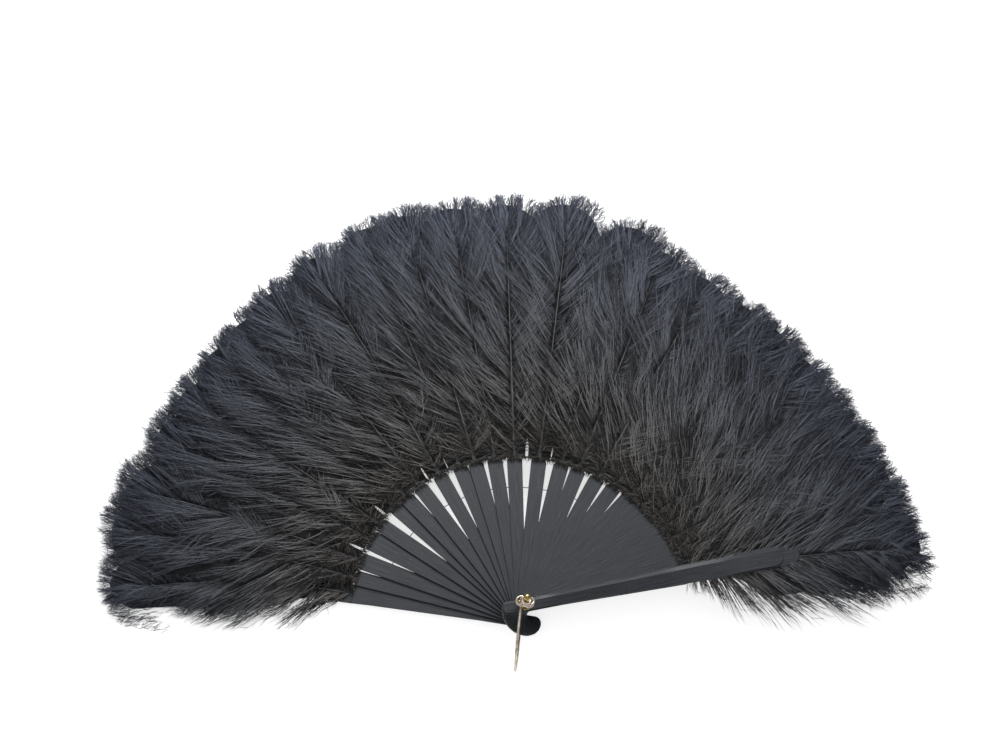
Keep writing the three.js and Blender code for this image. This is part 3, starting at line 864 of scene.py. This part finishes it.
def shaft_line(rng, stick, plume, root, reach):
    """Points of a plume's shaft in its stick's own frame: nearly straight, hanging at the tip."""
    share = np.linspace(0, 1, SHAFT_POINTS)
    end = reach - plume.fringe
    lean = lean_of(stick, plume) + rng.normal(0, SHAFT_STRAY)
    low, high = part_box(stick.plume)
    x = root + (end - root) * share
    y = lean * share ** 2
    z = (low.z + high.z) / 2 + plume.arch * np.sin(np.pi * share) - plume.droop * share ** 3
    return np.stack([x, y, z], axis=1)


def lobe(y, reach, plume):
    """How far out a barb may end at a distance y from the middle: the tip is a slanting round lobe."""
    off = np.clip(np.abs(y) / plume.lobe_half, 0, 1)
    return reach - plume.lobe_depth * (1 - np.sqrt(1 - off ** 2)) - LOBE_SLANT * y


def walk(heading, length, rows):
    """Places along strands that turn as they go, from zero, as (strand, row, x and y)."""
    middle = (heading[:, 1:] + heading[:, :-1]) / 2
    step = length[:, None] * np.diff(rows)
    away = np.zeros((*heading.shape, 2))
    away[:, 1:, 0] = np.cumsum(np.cos(middle) * step, axis=1)
    away[:, 1:, 1] = np.cumsum(np.sin(middle) * step, axis=1)
    return away


def along_shaft(shaft, share):
    """Points at shares of the way along a shaft."""
    places = np.linspace(0, 1, len(shaft))
    return np.stack([np.interp(share, places, axis) for axis in shaft.T], axis=1)


def headings(rng, vane, plume, share, clump, lock, near_tip):
    """Which way each barb of a vane points at each of its rows, from the shaft."""
    swing = rng.uniform(*LOCK_SWING, plume.locks)[lock] + rng.normal(0, CLUMP_SWING, plume.clumps)[clump]
    swing = (swing + rng.normal(0, BARB_SWING, len(share))) * (1 - TIP_CALM * near_tip)
    fan_out = vane.spread * (1 + near_tip * (rng.uniform(*TIP_SPREAD, plume.clumps)[clump] - 1))
    start = fan_out * np.radians(np.interp(share, *BARB_START_DEG)) + ROOT_SWING * swing
    end = fan_out * np.radians(np.interp(share, *BARB_END_DEG)) + swing
    curled = rng.random(plume.clumps) < CURLED_CLUMPS
    curl = (curled * rng.uniform(*TIP_CURL, plume.clumps))[clump] * near_tip
    outer_half = np.clip(2 * BARB_ROWS - 1, 0, None)
    phase = rng.random(plume.clumps)[clump] + WAVE_STRAY * rng.random(len(share))
    waves = rng.uniform(*WAVES, plume.clumps)[clump][:, None] * BARB_ROWS + phase[:, None]
    heading = start[:, None] + (end - start)[:, None] * BARB_ROWS + curl[:, None] * outer_half ** 2
    return heading + (WAVE_TURN + TIP_WAVE_TURN * near_tip[:, None]) * np.sin(2 * np.pi * waves)


def grown(foot, away):
    """Points of strands that start at their feet and go away from them in x and y."""
    points = np.repeat(foot[:, None], away.shape[1], axis=1)
    points[:, :, :2] += away
    return points


def barbs(rng, shaft, vane, plume, reach):
    """One vane. Its barbs leave the shaft in clumps and locks that lean different ways, sweep towards
    the tip, weave over and under each other, and stop at the tip's outline."""
    count = int(plume.barbs / 2 * (FREE_DENSITY if vane.free else 1))
    share = ((np.arange(count) + rng.random(count)) / count) ** TIP_BIAS
    clump = np.minimum((share * plume.clumps).astype(int), plume.clumps - 1)
    lock_place = share * plume.locks + rng.normal(0, LOCK_STRAY, plume.clumps)[clump]
    lock = np.clip(lock_place.astype(int), 0, plume.locks - 1)
    near_tip = np.interp(share, (TIP_FROM, 1.0), (0, 1))

    heading = headings(rng, vane, plume, share, clump, lock, near_tip)
    long = np.interp(share, *BARB_LENGTH) * np.interp(share, *vane.lengths)
    long *= rng.uniform(*CLUMP_LENGTHS, plume.clumps)[clump] * rng.uniform(*BARB_LENGTHS, count)
    away = walk(vane.side * heading, long, BARB_ROWS)
    root = along_shaft(shaft, share)
    spacing = (shaft[-1, 0] - shaft[0, 0]) / plume.clumps
    off_middle = share * plume.clumps - clump - 0.5
    away[:, :, 0] -= plume.gather * spacing * off_middle[:, None] * BARB_ROWS
    limit = reach * rng.uniform(*CLUMP_REACH, plume.clumps)[clump] - rng.exponential(END_STRAY, count)
    trim(away, root, limit, shaft, plume)

    light, tone = tones_of(rng, clump, plume.clumps)
    rise = rises(rng, vane, plume, clump, lock, near_tip, light)
    fall = vane.sag * rng.uniform(*SAG_RANGE, plume.clumps)[clump]
    over = rng.uniform(*WEAVES, count)[:, None] * BARB_ROWS + rng.random(count)[:, None]
    points = grown(root, away)
    points[:, :, 2] += rise[:, None] * np.minimum(1, RISE_RATE * BARB_ROWS)
    points[:, :, 2] += plume.weave * np.sin(2 * np.pi * over) - fall[:, None] * BARB_ROWS ** 2
    points[:, :, 2] = np.maximum(points[:, :, 2], rng.uniform(*LOWEST_MM, (count, 1)) * MM)
    girth = rng.uniform(*BARB_GIRTHS, count) + LIGHT_GIRTH * light
    patch = rng.normal(0, LOCK_TONE, plume.locks)[lock]
    patch += CLUMP_TONE * (rng.random(plume.clumps)[clump] - 0.5)
    # each barb's painted highlight or painted shade, with more painted shade towards both its ends
    shade = np.clip(np.clip(tone + patch, 0, 1)[:, None] * BARB_PAINTED_SHADE, 0, 1)
    distance = distance_of(points, BARB_ROWS, shaft[0, 0], reach)
    return Strands(points, plume.barb_radius * BARB_GIRTH * girth[:, None], shade, distance)


def tones_of(rng, clump, clumps):
    """Which strands get a painted highlight and how light each is painted; the others get painted shade. Bright
    clumps have more painted highlights.
    """
    bright = rng.random(clumps) < BRIGHT_CLUMPS
    light = rng.random(len(clump)) < np.where(bright, LIGHT_SHARE[1], LIGHT_SHARE[0])[clump]
    dull = SHADED_TONE * rng.beta(*SHADED_SPREAD, len(clump))
    return light, np.where(light, rng.uniform(*LIGHT_TONES, len(clump)), dull)


def rises(rng, vane, plume, clump, lock, near_tip, light):
    """How far each barb stands over its shaft. A plume's left vane lies on the dark sheet and its right vane under
    it, but some locks of the right vane lie over the next plume, and the tip is mixed."""
    stand = rng.random(plume.clumps)[clump] + STAND_STRAY * rng.normal(0, 1, len(clump))
    stand += LIGHT_STAND * light
    mixed = rng.random(plume.clumps)[clump] < MIXED_CLUMPS
    under = np.where(near_tip > 0, mixed, vane.side < 0) & (not vane.free)
    rise = np.where(under, -WEB_DROP - plume.lift * stand, plume.lift * stand)
    if vane.side < 0 and not vane.free:
        height = rng.uniform(*OVER_RISE, plume.locks)[lock] + rng.normal(0, OVER_STRAY, plume.clumps)[clump]
        over = (rng.random(plume.locks) < LOCKS_OVER)[lock] & (near_tip < OVER_UNTIL)
        rise = np.where(over, height, rise)
    return rise


def trim(away, root, reach, shaft, plume):
    """Shortens barbs, in place, so that none passes the round outline of the tip."""
    picks = np.arange(len(away))
    for _ in range(TRIM_ROUNDS):
        farthest = away[:, :, 0].argmax(axis=1)
        far = np.maximum(away[picks, farthest, 0], MM)
        middle = np.interp(root[:, 0] + far, shaft[:, 0], shaft[:, 1])
        y = root[:, 1] + away[picks, farthest, 1] - middle
        room = np.maximum(lobe(y, reach, plume) - root[:, 0], SHORTEST)
        away *= np.minimum(1, room / far)[:, None, None]


def clear_guards(points, stick, wood):
    """Keeps a plume's points, in place, between the guards wherever a guard covers them."""
    x, y, z = np.moveaxis(points, -1, 0)
    for guard in (STICKS[0], STICKS[-1]):
        turn = stick.angle - guard.angle
        along = x * math.cos(turn) - y * math.sin(turn)
        off = x * math.sin(turn) + y * math.cos(turn)
        covered = (along < span_along(guard.name, guard.angle)[1]) & (np.abs(off) < wood.guard_half)
        let_in = wood.rebate_depth if stick is guard else 0
        if guard is STICKS[0]:
            kept = np.maximum(z, guard.front - let_in + GUARD_ROOM)
        else:
            kept = np.minimum(z, guard.back + let_in - GUARD_ROOM)
        z = np.where(covered, kept, z)
    points[..., 2] = z


def distance_of(points, rows, root, reach):
    """A strand's place between the foot and the tip of its plume, from 0 to 1 along its rows."""
    share = np.clip((points[:, :, 0] - root) / (reach - root), 0, 1)
    return MAP_DISTANCE[0] + MAP_DISTANCE[1] * share + MAP_ROW * rows


def wisps(rng, vanes, plume, root, reach):
    """Short fine strands that leave the barbs and wave over them."""
    lines = np.concatenate([vane.points for vane in vanes])
    count = plume.wisps
    barb = rng.integers(0, len(lines), count)
    row = rng.integers(1, len(BARB_ROWS) - 1, count)
    foot = lines[barb, row]
    along = foot - lines[barb, row - 1]
    heading = np.arctan2(along[:, 1], along[:, 0]) + rng.normal(0, WISP_TURN, count)
    bent = heading[:, None] + rng.normal(0, WISP_BEND, (count, 1)) * WISP_ROWS
    long = plume.wisp_length * rng.uniform(*WISP_LENGTHS, count)
    points = grown(foot, walk(bent, long, WISP_ROWS))
    points[:, :, 2] += rng.normal(*WISP_RISE_MM, (count, 1)) * MM * WISP_ROWS
    points[:, :, 2] = np.maximum(points[:, :, 2], WISP_LOWEST)
    radii = plume.wisp_radius * WISP_GIRTH * rng.uniform(*WISP_GIRTHS, (count, 1))
    shade = rng.beta(*WISP_TONES, (count, 1)) * np.ones(len(WISP_ROWS))
    return Strands(points, radii, shade, distance_of(points, WISP_ROWS, root, reach))


def tuft(rng, shaft, vanes, plume, reach):
    """The short curled ends that fill the round tip, out to its outline."""
    count = plume.tuft
    across = rng.uniform(-TUFT_EDGE, TUFT_EDGE, count)
    clump = ((across + 1) / 2 * TUFT_CLUMPS).astype(int)
    y = across * plume.lobe_half
    inset = plume.fringe * rng.random(count) ** TUFT_BIAS + rng.uniform(*TUFT_INSET, TUFT_CLUMPS)[clump]
    heading = TUFT_FAN * across + rng.normal(0, TUFT_TURN[0], TUFT_CLUMPS)[clump]
    heading += rng.normal(0, TUFT_TURN[1], count)
    long = rng.uniform(*TUFT_LENGTH_MM, count) * MM
    sag = np.where(across > 0, vanes[0].sag, vanes[1].sag) * (y / WEB_SAG_AT) ** 2
    foot = np.stack([
        lobe(y, reach, plume) - inset - long * np.cos(heading),
        shaft[-1, 1] + y - long * np.sin(heading),
        shaft[-1, 2] - sag + rng.uniform(*TUFT_RISE_MM, count) * MM,
    ], axis=1)
    curl = rng.normal(0, TUFT_CURL[0], TUFT_CLUMPS)[clump] + rng.normal(0, TUFT_CURL[1], count)
    points = grown(foot, walk(heading[:, None] + curl[:, None] * WISP_ROWS ** 2, long, WISP_ROWS))
    points[:, :, 2] = np.maximum(points[:, :, 2], rng.uniform(*LOWEST_MM, (count, 1)) * MM)
    light, tone = tones_of(rng, clump, TUFT_CLUMPS)
    girth = rng.uniform(*TUFT_GIRTHS, count) + LIGHT_GIRTH * light
    shade = tone[:, None] * np.ones(len(WISP_ROWS))
    distance = distance_of(points, WISP_ROWS, shaft[0, 0], reach)
    return Strands(points, plume.wisp_radius * WISP_GIRTH * girth[:, None], shade, distance)


def down(rng, shaft, plume, reach):
    """Short down round the foot of a plume. Part of it turns back over the ends of the sticks and
    into the gaps between them."""
    count = plume.fluff
    back = rng.random(count) < DOWN_BACK
    foot = along_shaft(shaft, np.where(back, 0, DOWN_UNTIL) * rng.random(count))
    foot[:, 0] -= np.where(back, rng.uniform(*DOWN_START_MM, count), 0) * MM
    foot[:, 1] += np.where(back, rng.uniform(-1, 1, count), 0) * WEB_FOOT
    foot[:, 2] += DOWN_LIFT
    turned_back = rng.normal(math.pi, DOWN_TURN, count)
    sideways = rng.choice((-1, 1), count) * rng.uniform(*DOWN_FAN, count)
    heading = np.where(back, turned_back, sideways)
    bent = heading[:, None] + rng.normal(0, DOWN_BEND, (count, 1)) * WISP_ROWS
    long = np.where(back, rng.uniform(*DOWN_BACK_MM, count), rng.uniform(*DOWN_LENGTH_MM, count)) * MM
    points = grown(foot, walk(bent, long, WISP_ROWS))
    points[:, :, 2] += rng.normal(*DOWN_RISE_MM, (count, 1)) * MM * np.sin(np.pi * WISP_ROWS)
    points[:, :, 2] = np.maximum(points[:, :, 2], DOWN_LOWEST)
    radii = plume.barb_radius * WISP_GIRTH * rng.uniform(*DOWN_GIRTHS, (count, 1))
    shade = DOWN_TONE * rng.beta(*DOWN_TONES, (count, 1)) * np.ones(len(WISP_ROWS))
    return Strands(points, radii, shade, distance_of(points, WISP_ROWS, shaft[0, 0], reach))


def web_outline(root, tip, half, plume):
    """Upper half of the dark sheet's outline: its foot, widening flank and round tip."""
    full = root + WEB_WIDENS * (tip - root)
    leaving, arriving = (root + share * (full - root) for share in (WEB_LEAVING, WEB_ARRIVING))
    outline = [(root, 0), (root, WEB_FOOT)]
    outline += bend((root, WEB_FOOT), (leaving, WEB_FOOT), (arriving, half), (full, half))
    for turn in np.linspace(0, math.pi / 2, ARC_STEPS):
        outline.append((tip - plume.lobe_depth * (1 - math.sin(turn)), half * math.cos(turn)))
    return outline


def shade_sheet_mesh(shaft, stick, vanes, plume, wood, reach):
    """A thin sheet inside a plume's outline that stops the light, coloured near black as painted shade for the
    matted barbs deep in it.
    """
    root = GUARD_WEB_START if stick in (STICKS[0], STICKS[-1]) else wood.blade_end + WEB_CLEAR
    tip, half = reach - WEB_TIP * plume.web_margin, plume.lobe_half - plume.web_margin
    curve = new_curve("web", "2D", fill_mode="BOTH", extrude=WEB_THICKNESS / 2)
    poly_spline(curve, mirrored(web_outline(root, tip, half, plume)), cyclic=True)
    shape = edit(mesh_of(curve))
    closed(shape)
    cut(shape, np.arange(root, tip, WEB_CELL)[1:], ALONG)
    cut(shape, np.arange(-half, half, WEB_CELL)[1:], ACROSS)
    lay = shape.loops.layers.uv.active or shape.loops.layers.uv.new("OFBake")
    for face in shape.faces:
        for corner in face.loops:
            x, y, z = corner.vert.co
            up = WEB_MAP[0] + WEB_MAP[1] * (x - root) / (reach - root) + MAP_SIDE * (z > 0)
            # near-black painted shade, lighter towards the tip
            corner[lay].uv = (WEB_PAINTED_SHADE[0] + WEB_PAINTED_SHADE[1] * y / half + WEB_PAINTED_SHADE[2] * up ** 2, up)
    spots = np.array([vertex.co for vertex in shape.verts])
    for vane in vanes:
        mine = spots[:, 1] * vane.side > 0
        across = spots[:, 1] * np.interp((spots[:, 0] - root) / (tip - root), *vane.web)
        spots[:, 2] -= np.where(mine, WEB_DROP + vane.sag * (across / WEB_SAG_AT) ** 2, 0)
        spots[:, 1] = np.where(mine, across, spots[:, 1])
    spots[:, 1] += np.interp(spots[:, 0], shaft[:, 0], shaft[:, 1])
    spots[:, 2] += np.interp(spots[:, 0], shaft[:, 0], shaft[:, 2])
    spots[:, 2] = np.maximum(spots[:, 2], WEB_LOWEST + 0.5 * WEB_THICKNESS * np.sign(spots[:, 2]))
    clear_guards(spots, stick, wood)
    for vertex, spot in zip(shape.verts, spots):
        vertex.co = spot
    mesh = store(shape, bpy.data.meshes.new("web"))
    mesh.uv_layers[0].name = "OFBake"
    return mesh


def shaft_mesh(shaft, plume):
    """The shaft as a round tapering rod, with its own place on the plume's map."""
    curve = new_curve("shaft", "3D", bevel_depth=plume.shaft_radius, bevel_resolution=2)
    spline = poly_spline(curve, [tuple(point) for point in shaft])
    taper = np.linspace(1, SHAFT_TAPER, len(shaft))
    taper[[0, -1]] = 0
    spline.points.foreach_set("radius", taper)
    mesh = mesh_of(curve)
    places = mesh.uv_layers[0]
    places.name = "OFBake"
    lay = np.empty(2 * len(mesh.loops), np.float32)
    places.uv.foreach_get("vector", lay)
    lay = lay.reshape(-1, 2)
    lay[:, 0] = SHAFT_SHADE[0] + SHAFT_SHADE[1] * lay[:, 0]
    places.uv.foreach_set("vector", lay.ravel())
    return mesh


def make_plumes(context):
    plume, wood = context.scene.fan_plumes, context.scene.fan_wood
    material = dyed_plume(plume)
    profile = strand_profile()
    for stick in STICKS:
        rng = np.random.default_rng(SEED + stick.number)
        root, reach = span_along(stick.plume, stick.angle)
        reach *= rng.uniform(*REACH_STRAY) * np.interp(math.degrees(stick.angle), *REACH_GAIN)
        shaft = shaft_line(rng, stick, plume, root, reach)
        vanes = vanes_of(stick, plume)
        groups = [barbs(rng, shaft, vane, plume, reach) for vane in vanes]
        groups += [wisps(rng, groups, plume, root, reach), tuft(rng, shaft, vanes, plume, reach)]
        if stick in STICKS[1:-1]:
            groups.append(down(rng, shaft, plume, reach))
        for group in groups:
            clear_guards(group.points, stick, wood)
        shape = edit(strand_mesh(groups, profile, plume.fade))
        shape.from_mesh(shade_sheet_mesh(shaft, stick, vanes, plume, wood, reach))
        shape.from_mesh(shaft_mesh(shaft, plume))
        bmesh.ops.remove_doubles(shape, verts=shape.verts, dist=STRAND_MERGE)
        bmesh.ops.transform(shape, matrix=place_of(stick, 0), verts=shape.verts)
        mesh = store(shape, bpy.data.meshes.new(stick.plume))
        mesh.shade_smooth()
        piece = add_piece(f"{stick.plume}_feather", mesh, stick.name, material, "black_feather", stick.plume)
        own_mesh(piece)
    bpy.data.objects.remove(profile)


# Pivot, bail and thread


def turned(profile, steps=LATHE_STEPS):
    """A turned piece: (radius, height) pairs, from axis to axis or closed on themselves, spun about +Z."""
    shape = bmesh.new()
    verts = [shape.verts.new((radius, 0, height)) for radius, height in profile]
    edges = [shape.edges.new(pair) for pair in zip(verts, verts[1:])]
    bmesh.ops.spin(
        shape, geom=verts + edges, cent=(0, 0, 0), axis=UP, angle=2 * math.pi, steps=steps, use_merge=True
    )
    closed(shape)
    return shape


def make_pivot(context):
    metal = context.scene.fan_metal
    material = old_brass(metal)
    for node, shape in (
        ("pivot_rivet", rivet_shape(metal)),
        ("rear_washer", washer_shape(metal, "rear_washer", 0)),
        ("front_washer", washer_shape(metal, "front_washer", PETALS)),
        ("ball_head", ball_shape(metal)),
    ):
        mesh = store(shape, bpy.data.meshes.new(node))
        smooth_by_angle(mesh, METAL_ANGLE)
        add_piece(f"{node}_brass", mesh, "rear_guard", material, "old_brass", node)


def rivet_shape(metal):
    low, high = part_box("pivot_rivet")
    head, edge, top = high.x, metal.head_edge, low.z + metal.head_height
    profile = [(0, low.z), (head - 2 * edge, low.z)]
    profile += arc((head - edge, low.z + edge), edge, -90, 0, HEAD_EDGE_STEPS)
    profile += arc((head - edge, top - edge), edge, 0, 90, HEAD_EDGE_STEPS)
    profile += [(metal.shank, top), (metal.shank, high.z), (0, high.z)]
    return turned(profile)


def washer_shape(metal, node, petals):
    """A washer with a rounded rim, or a rosette where the rim has petals."""
    low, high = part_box(node)
    rim, hole, edge = high.x, metal.hole, metal.washer_edge
    profile = [(hole, low.z), (rim - edge, low.z)]
    profile += arc((rim - edge, low.z + edge), edge, -90, 0, RIM_STEPS)
    profile += arc((rim - edge, high.z - edge), edge, 0, 90, RIM_STEPS)
    profile += [(hole, high.z), (hole, low.z)]
    shape = turned(profile, ROSETTE_STEPS)
    if petals:
        for vertex in shape.verts:
            turn = math.atan2(vertex.co.y, vertex.co.x)
            dip = PETAL_DEPTH * (1 - abs(math.sin(petals * turn / 2)) ** 0.5)
            share = max(vertex.co.xy.length - hole, 0) / (rim - hole)
            vertex.co.xy *= 1 - dip * share
    return shape


def ball_shape(metal):
    """A ball with a flat foot, bored from below for the rivet's end."""
    low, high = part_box("ball_head")
    radius, bore, roof = high.x, metal.bore, low.z + metal.bore_depth
    centre = high.z - radius
    foot = math.degrees(math.asin((centre - low.z) / radius))
    profile = [(0, roof), (bore, roof), (bore, low.z)]
    profile += arc((0, centre), radius, -foot, 90, BALL_STEPS)
    return turned(profile)


def around(radius, degrees, z):
    return (radius * math.cos(math.radians(degrees)), radius * math.sin(math.radians(degrees)), z)


def bail_route(metal):
    """Centre line of the bail in its own frame, legs along +X: the rear eye, the twisted loop with its
    round end, and the coil under the ball, whose lowest turns are slack."""
    low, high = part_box("bail")
    rear, top = low.z + metal.wire, high.z - metal.wire
    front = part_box("front_washer")[1].z + RUNNING_GAP + metal.wire
    round_end = (front - rear) / 2
    leg_end = metal.reach - round_end
    points = [around(metal.eye, turn, rear) for turn in EYE_TURNS]
    points += [(share * leg_end, metal.eye, rear) for share in LEG_SHARES]
    for turn in LOOP_TURNS:
        out, side = leg_end + round_end * math.cos(math.radians(turn)), math.sin(math.radians(turn))
        points.append((out, -metal.eye * side, (rear + front) / 2 + round_end * side))
    points += [(share * leg_end, -metal.eye, front) for share in reversed(LEG_SHARES)]
    whole = 360 * metal.turns
    for wound in range(COIL_STEP, whole + 1, COIL_STEP):
        slack = metal.slack * max(0, math.sin(math.pi * wound / (360 * SLACK_TURNS)))
        radius = metal.eye + slack * math.cos(math.radians(wound)) ** 2
        points.append(around(radius, -90 - wound, front + (top - front) * wound / whole))
    return points


def wire_mesh(name, points, radius):
    """A round wire through these points, with closed ends."""
    curve = new_curve(
        name, "3D", bevel_depth=radius, bevel_resolution=3, resolution_u=6, use_fill_caps=True
    )
    spline = curve.splines.new("BEZIER")
    spline.bezier_points.add(len(points) - 1)
    for knot, point in zip(spline.bezier_points, points):
        knot.co = point
        knot.handle_left_type = "AUTO"
        knot.handle_right_type = "AUTO"
    return mesh_of(curve)


def make_bail(context):
    metal = context.scene.fan_metal
    material = bail_wire(metal)
    shape = edit(wire_mesh("bail", bail_route(metal), metal.wire))
    closed(shape)
    bmesh.ops.rotate(shape, cent=(0, 0, 0), matrix=Matrix.Rotation(BAIL_ANGLE, 3, "Z"), verts=shape.verts)
    mesh = store(shape, bpy.data.meshes.new("bail"))
    smooth_by_angle(mesh, METAL_ANGLE)
    add_piece("bail_wire", mesh, "bail", material, "bail_wire", "bail")


def thread_point(stick, thread):
    """Where the thread passes under a stick."""
    drop = thread.below
    if stick is STICKS[0]:
        drop = -(stick.front - stick.back) / 2
    if stick is STICKS[-1]:
        drop = 2 * thread.radius
    turn = Vector((math.cos(stick.angle), math.sin(stick.angle), 0))
    return turn * thread.distance + UP * (stick.back - drop)


def make_thread(context):
    thread = context.scene.fan_thread
    material = waxed_thread(thread)
    for left, right in zip(STICKS, STICKS[1:]):
        far, near = thread_point(left, thread), thread_point(right, thread)
        if left is STICKS[0]:
            far = far.lerp(near, GUARD_TIE)
        slack = [
            far.lerp(near, share) - UP * THREAD_DIP * math.sin(math.pi * share)
            for share in np.linspace(0, 1, THREAD_KNOTS)
        ]
        name = f"thread_{right.number:02d}"
        shape = edit(wire_mesh("thread", slack, thread.radius))
        closed(shape)
        mesh = store(shape, bpy.data.meshes.new(name))
        mesh.shade_smooth()
        piece = add_piece(name, mesh, right.name, material, "black_thread", "spacing_thread")
        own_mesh(piece)


# Stage


def make_stage(context):
    stage = context.scene.fan_stage
    shape = bmesh.new()
    bmesh.ops.create_grid(shape, x_segments=2, y_segments=2, size=FLOOR_HALF)
    bmesh.ops.translate(shape, verts=shape.verts, vec=-UP * FLOOR_DROP)
    mesh = store(shape, bpy.data.meshes.new("floor"))
    mesh.materials.append(floor_paper(stage))
    floor = bpy.data.objects.new("floor", mesh)
    context.scene.collection.objects.link(floor)
    aim = Vector(stage.aim)
    add_lamp(context, "key_lamp", KEY_PLACE, aim, KEY_SIZE, stage.key)
    add_lamp(context, "fill_lamp", FILL_PLACE, aim, FILL_SIZE, stage.fill)
    add_camera(context, stage, aim)
    add_sky(context, stage)
    context.scene.view_settings.view_transform = "Standard"


def add_lamp(context, name, place, target, size, power):
    lamp = bpy.data.lights.new(name, "AREA")
    lamp.energy = power
    lamp.size = size
    holder = bpy.data.objects.new(name, lamp)
    holder.location = place
    holder.rotation_euler = (target - Vector(place)).to_track_quat("-Z", "Y").to_euler()
    holder.visible_camera = False
    context.scene.collection.objects.link(holder)


def add_camera(context, stage, aim):
    data = bpy.data.cameras.new("camera")
    data.lens = stage.lens
    camera = bpy.data.objects.new("camera", data)
    turn = Matrix.Rotation(-stage.lean, 3, "Y") @ Matrix.Rotation(math.pi / 2 - stage.elevation, 3, "X")
    camera.location = aim + turn @ UP * stage.camera_distance
    camera.rotation_euler = turn.to_euler()
    context.scene.collection.objects.link(camera)
    context.scene.camera = camera


def add_sky(context, stage):
    """An even sky that lights softly and looks white to the camera."""
    world = bpy.data.worlds.new("studio")
    world.use_nodes = True
    context.scene.world = world
    tree = world.node_tree
    rays = add_node(tree, "LightPath", {}, {})
    strength = add_node(
        tree, "MapRange", {"Value": rays.outputs["Is Camera Ray"]}, {"To Min": stage.sky, "To Max": 1}
    )
    background = tree.nodes["Background"]
    background.inputs["Color"].default_value = (1, 1, 1, 1)
    tree.links.new(strength.outputs["Result"], background.inputs["Strength"])


# The add-on


class FAN_OT_stage(bpy.types.Operator):
    """Sets up the floor, the lamps and the camera"""

    bl_idname = "fan.make_stage"
    bl_label = "Stage"

    def execute(self, context):
        make_stage(context)
        return {"FINISHED"}


class FAN_OT_sticks(bpy.types.Operator):
    """Makes the inner sticks with their rounded edges and grain"""

    bl_idname = "fan.make_sticks"
    bl_label = "Sticks"

    def execute(self, context):
        make_sticks(context)
        return {"FINISHED"}


class FAN_OT_guards(bpy.types.Operator):
    """Makes the two guards with their raised faces"""

    bl_idname = "fan.make_guards"
    bl_label = "Guards"

    def execute(self, context):
        make_guards(context)
        return {"FINISHED"}


class FAN_OT_plumes(bpy.types.Operator):
    """Makes a plume of barbs on every stick and guard"""

    bl_idname = "fan.make_plumes"
    bl_label = "Plumes"

    def execute(self, context):
        make_plumes(context)
        return {"FINISHED"}


class FAN_OT_pivot(bpy.types.Operator):
    """Makes the rivet, its washers and the ball head"""

    bl_idname = "fan.make_pivot"
    bl_label = "Pivot"

    def execute(self, context):
        make_pivot(context)
        return {"FINISHED"}


class FAN_OT_bail(bpy.types.Operator):
    """Makes the bent wire bail"""

    bl_idname = "fan.make_bail"
    bl_label = "Bail"

    def execute(self, context):
        make_bail(context)
        return {"FINISHED"}


class FAN_OT_thread(bpy.types.Operator):
    """Makes the spacing thread between the sticks"""

    bl_idname = "fan.make_thread"
    bl_label = "Spacing thread"

    def execute(self, context):
        make_thread(context)
        return {"FINISHED"}


SETTINGS = {
    "fan_stage": FanStageSettings,
    "fan_wood": FanWoodSettings,
    "fan_plumes": FanPlumeSettings,
    "fan_metal": FanMetalSettings,
    "fan_thread": FanThreadSettings,
}
OPERATORS = (
    FAN_OT_stage, FAN_OT_sticks, FAN_OT_guards, FAN_OT_plumes, FAN_OT_pivot, FAN_OT_bail, FAN_OT_thread,
)


class FAN_PT_panel(bpy.types.Panel):
    """Lists the fan's pieces and their sizes and colours"""

    bl_idname = "FAN_PT_panel"
    bl_label = "Feather fan"
    bl_space_type = "VIEW_3D"
    bl_region_type = "UI"
    bl_category = "Fan"

    def draw(self, context):
        for kind in OPERATORS:
            self.layout.operator(kind.bl_idname)
        for name, group in SETTINGS.items():
            box = self.layout.box()
            for key in group.__annotations__:
                box.prop(getattr(context.scene, name), key)


def register():
    for kind in (*SETTINGS.values(), *OPERATORS, FAN_PT_panel):
        bpy.utils.register_class(kind)
    for name, group in SETTINGS.items():
        setattr(bpy.types.Scene, name, PointerProperty(type=group))


def unregister():
    for name in SETTINGS:
        delattr(bpy.types.Scene, name)
    for kind in reversed((*SETTINGS.values(), *OPERATORS, FAN_PT_panel)):
        bpy.utils.unregister_class(kind)


def main():
    register()
    bpy.ops.fan.make_stage()
    bpy.ops.fan.make_sticks()
    bpy.ops.fan.make_guards()
    bpy.ops.fan.make_plumes()
    bpy.ops.fan.make_pivot()
    bpy.ops.fan.make_bail()
    bpy.ops.fan.make_thread()


if __name__ == "__main__":
    main()
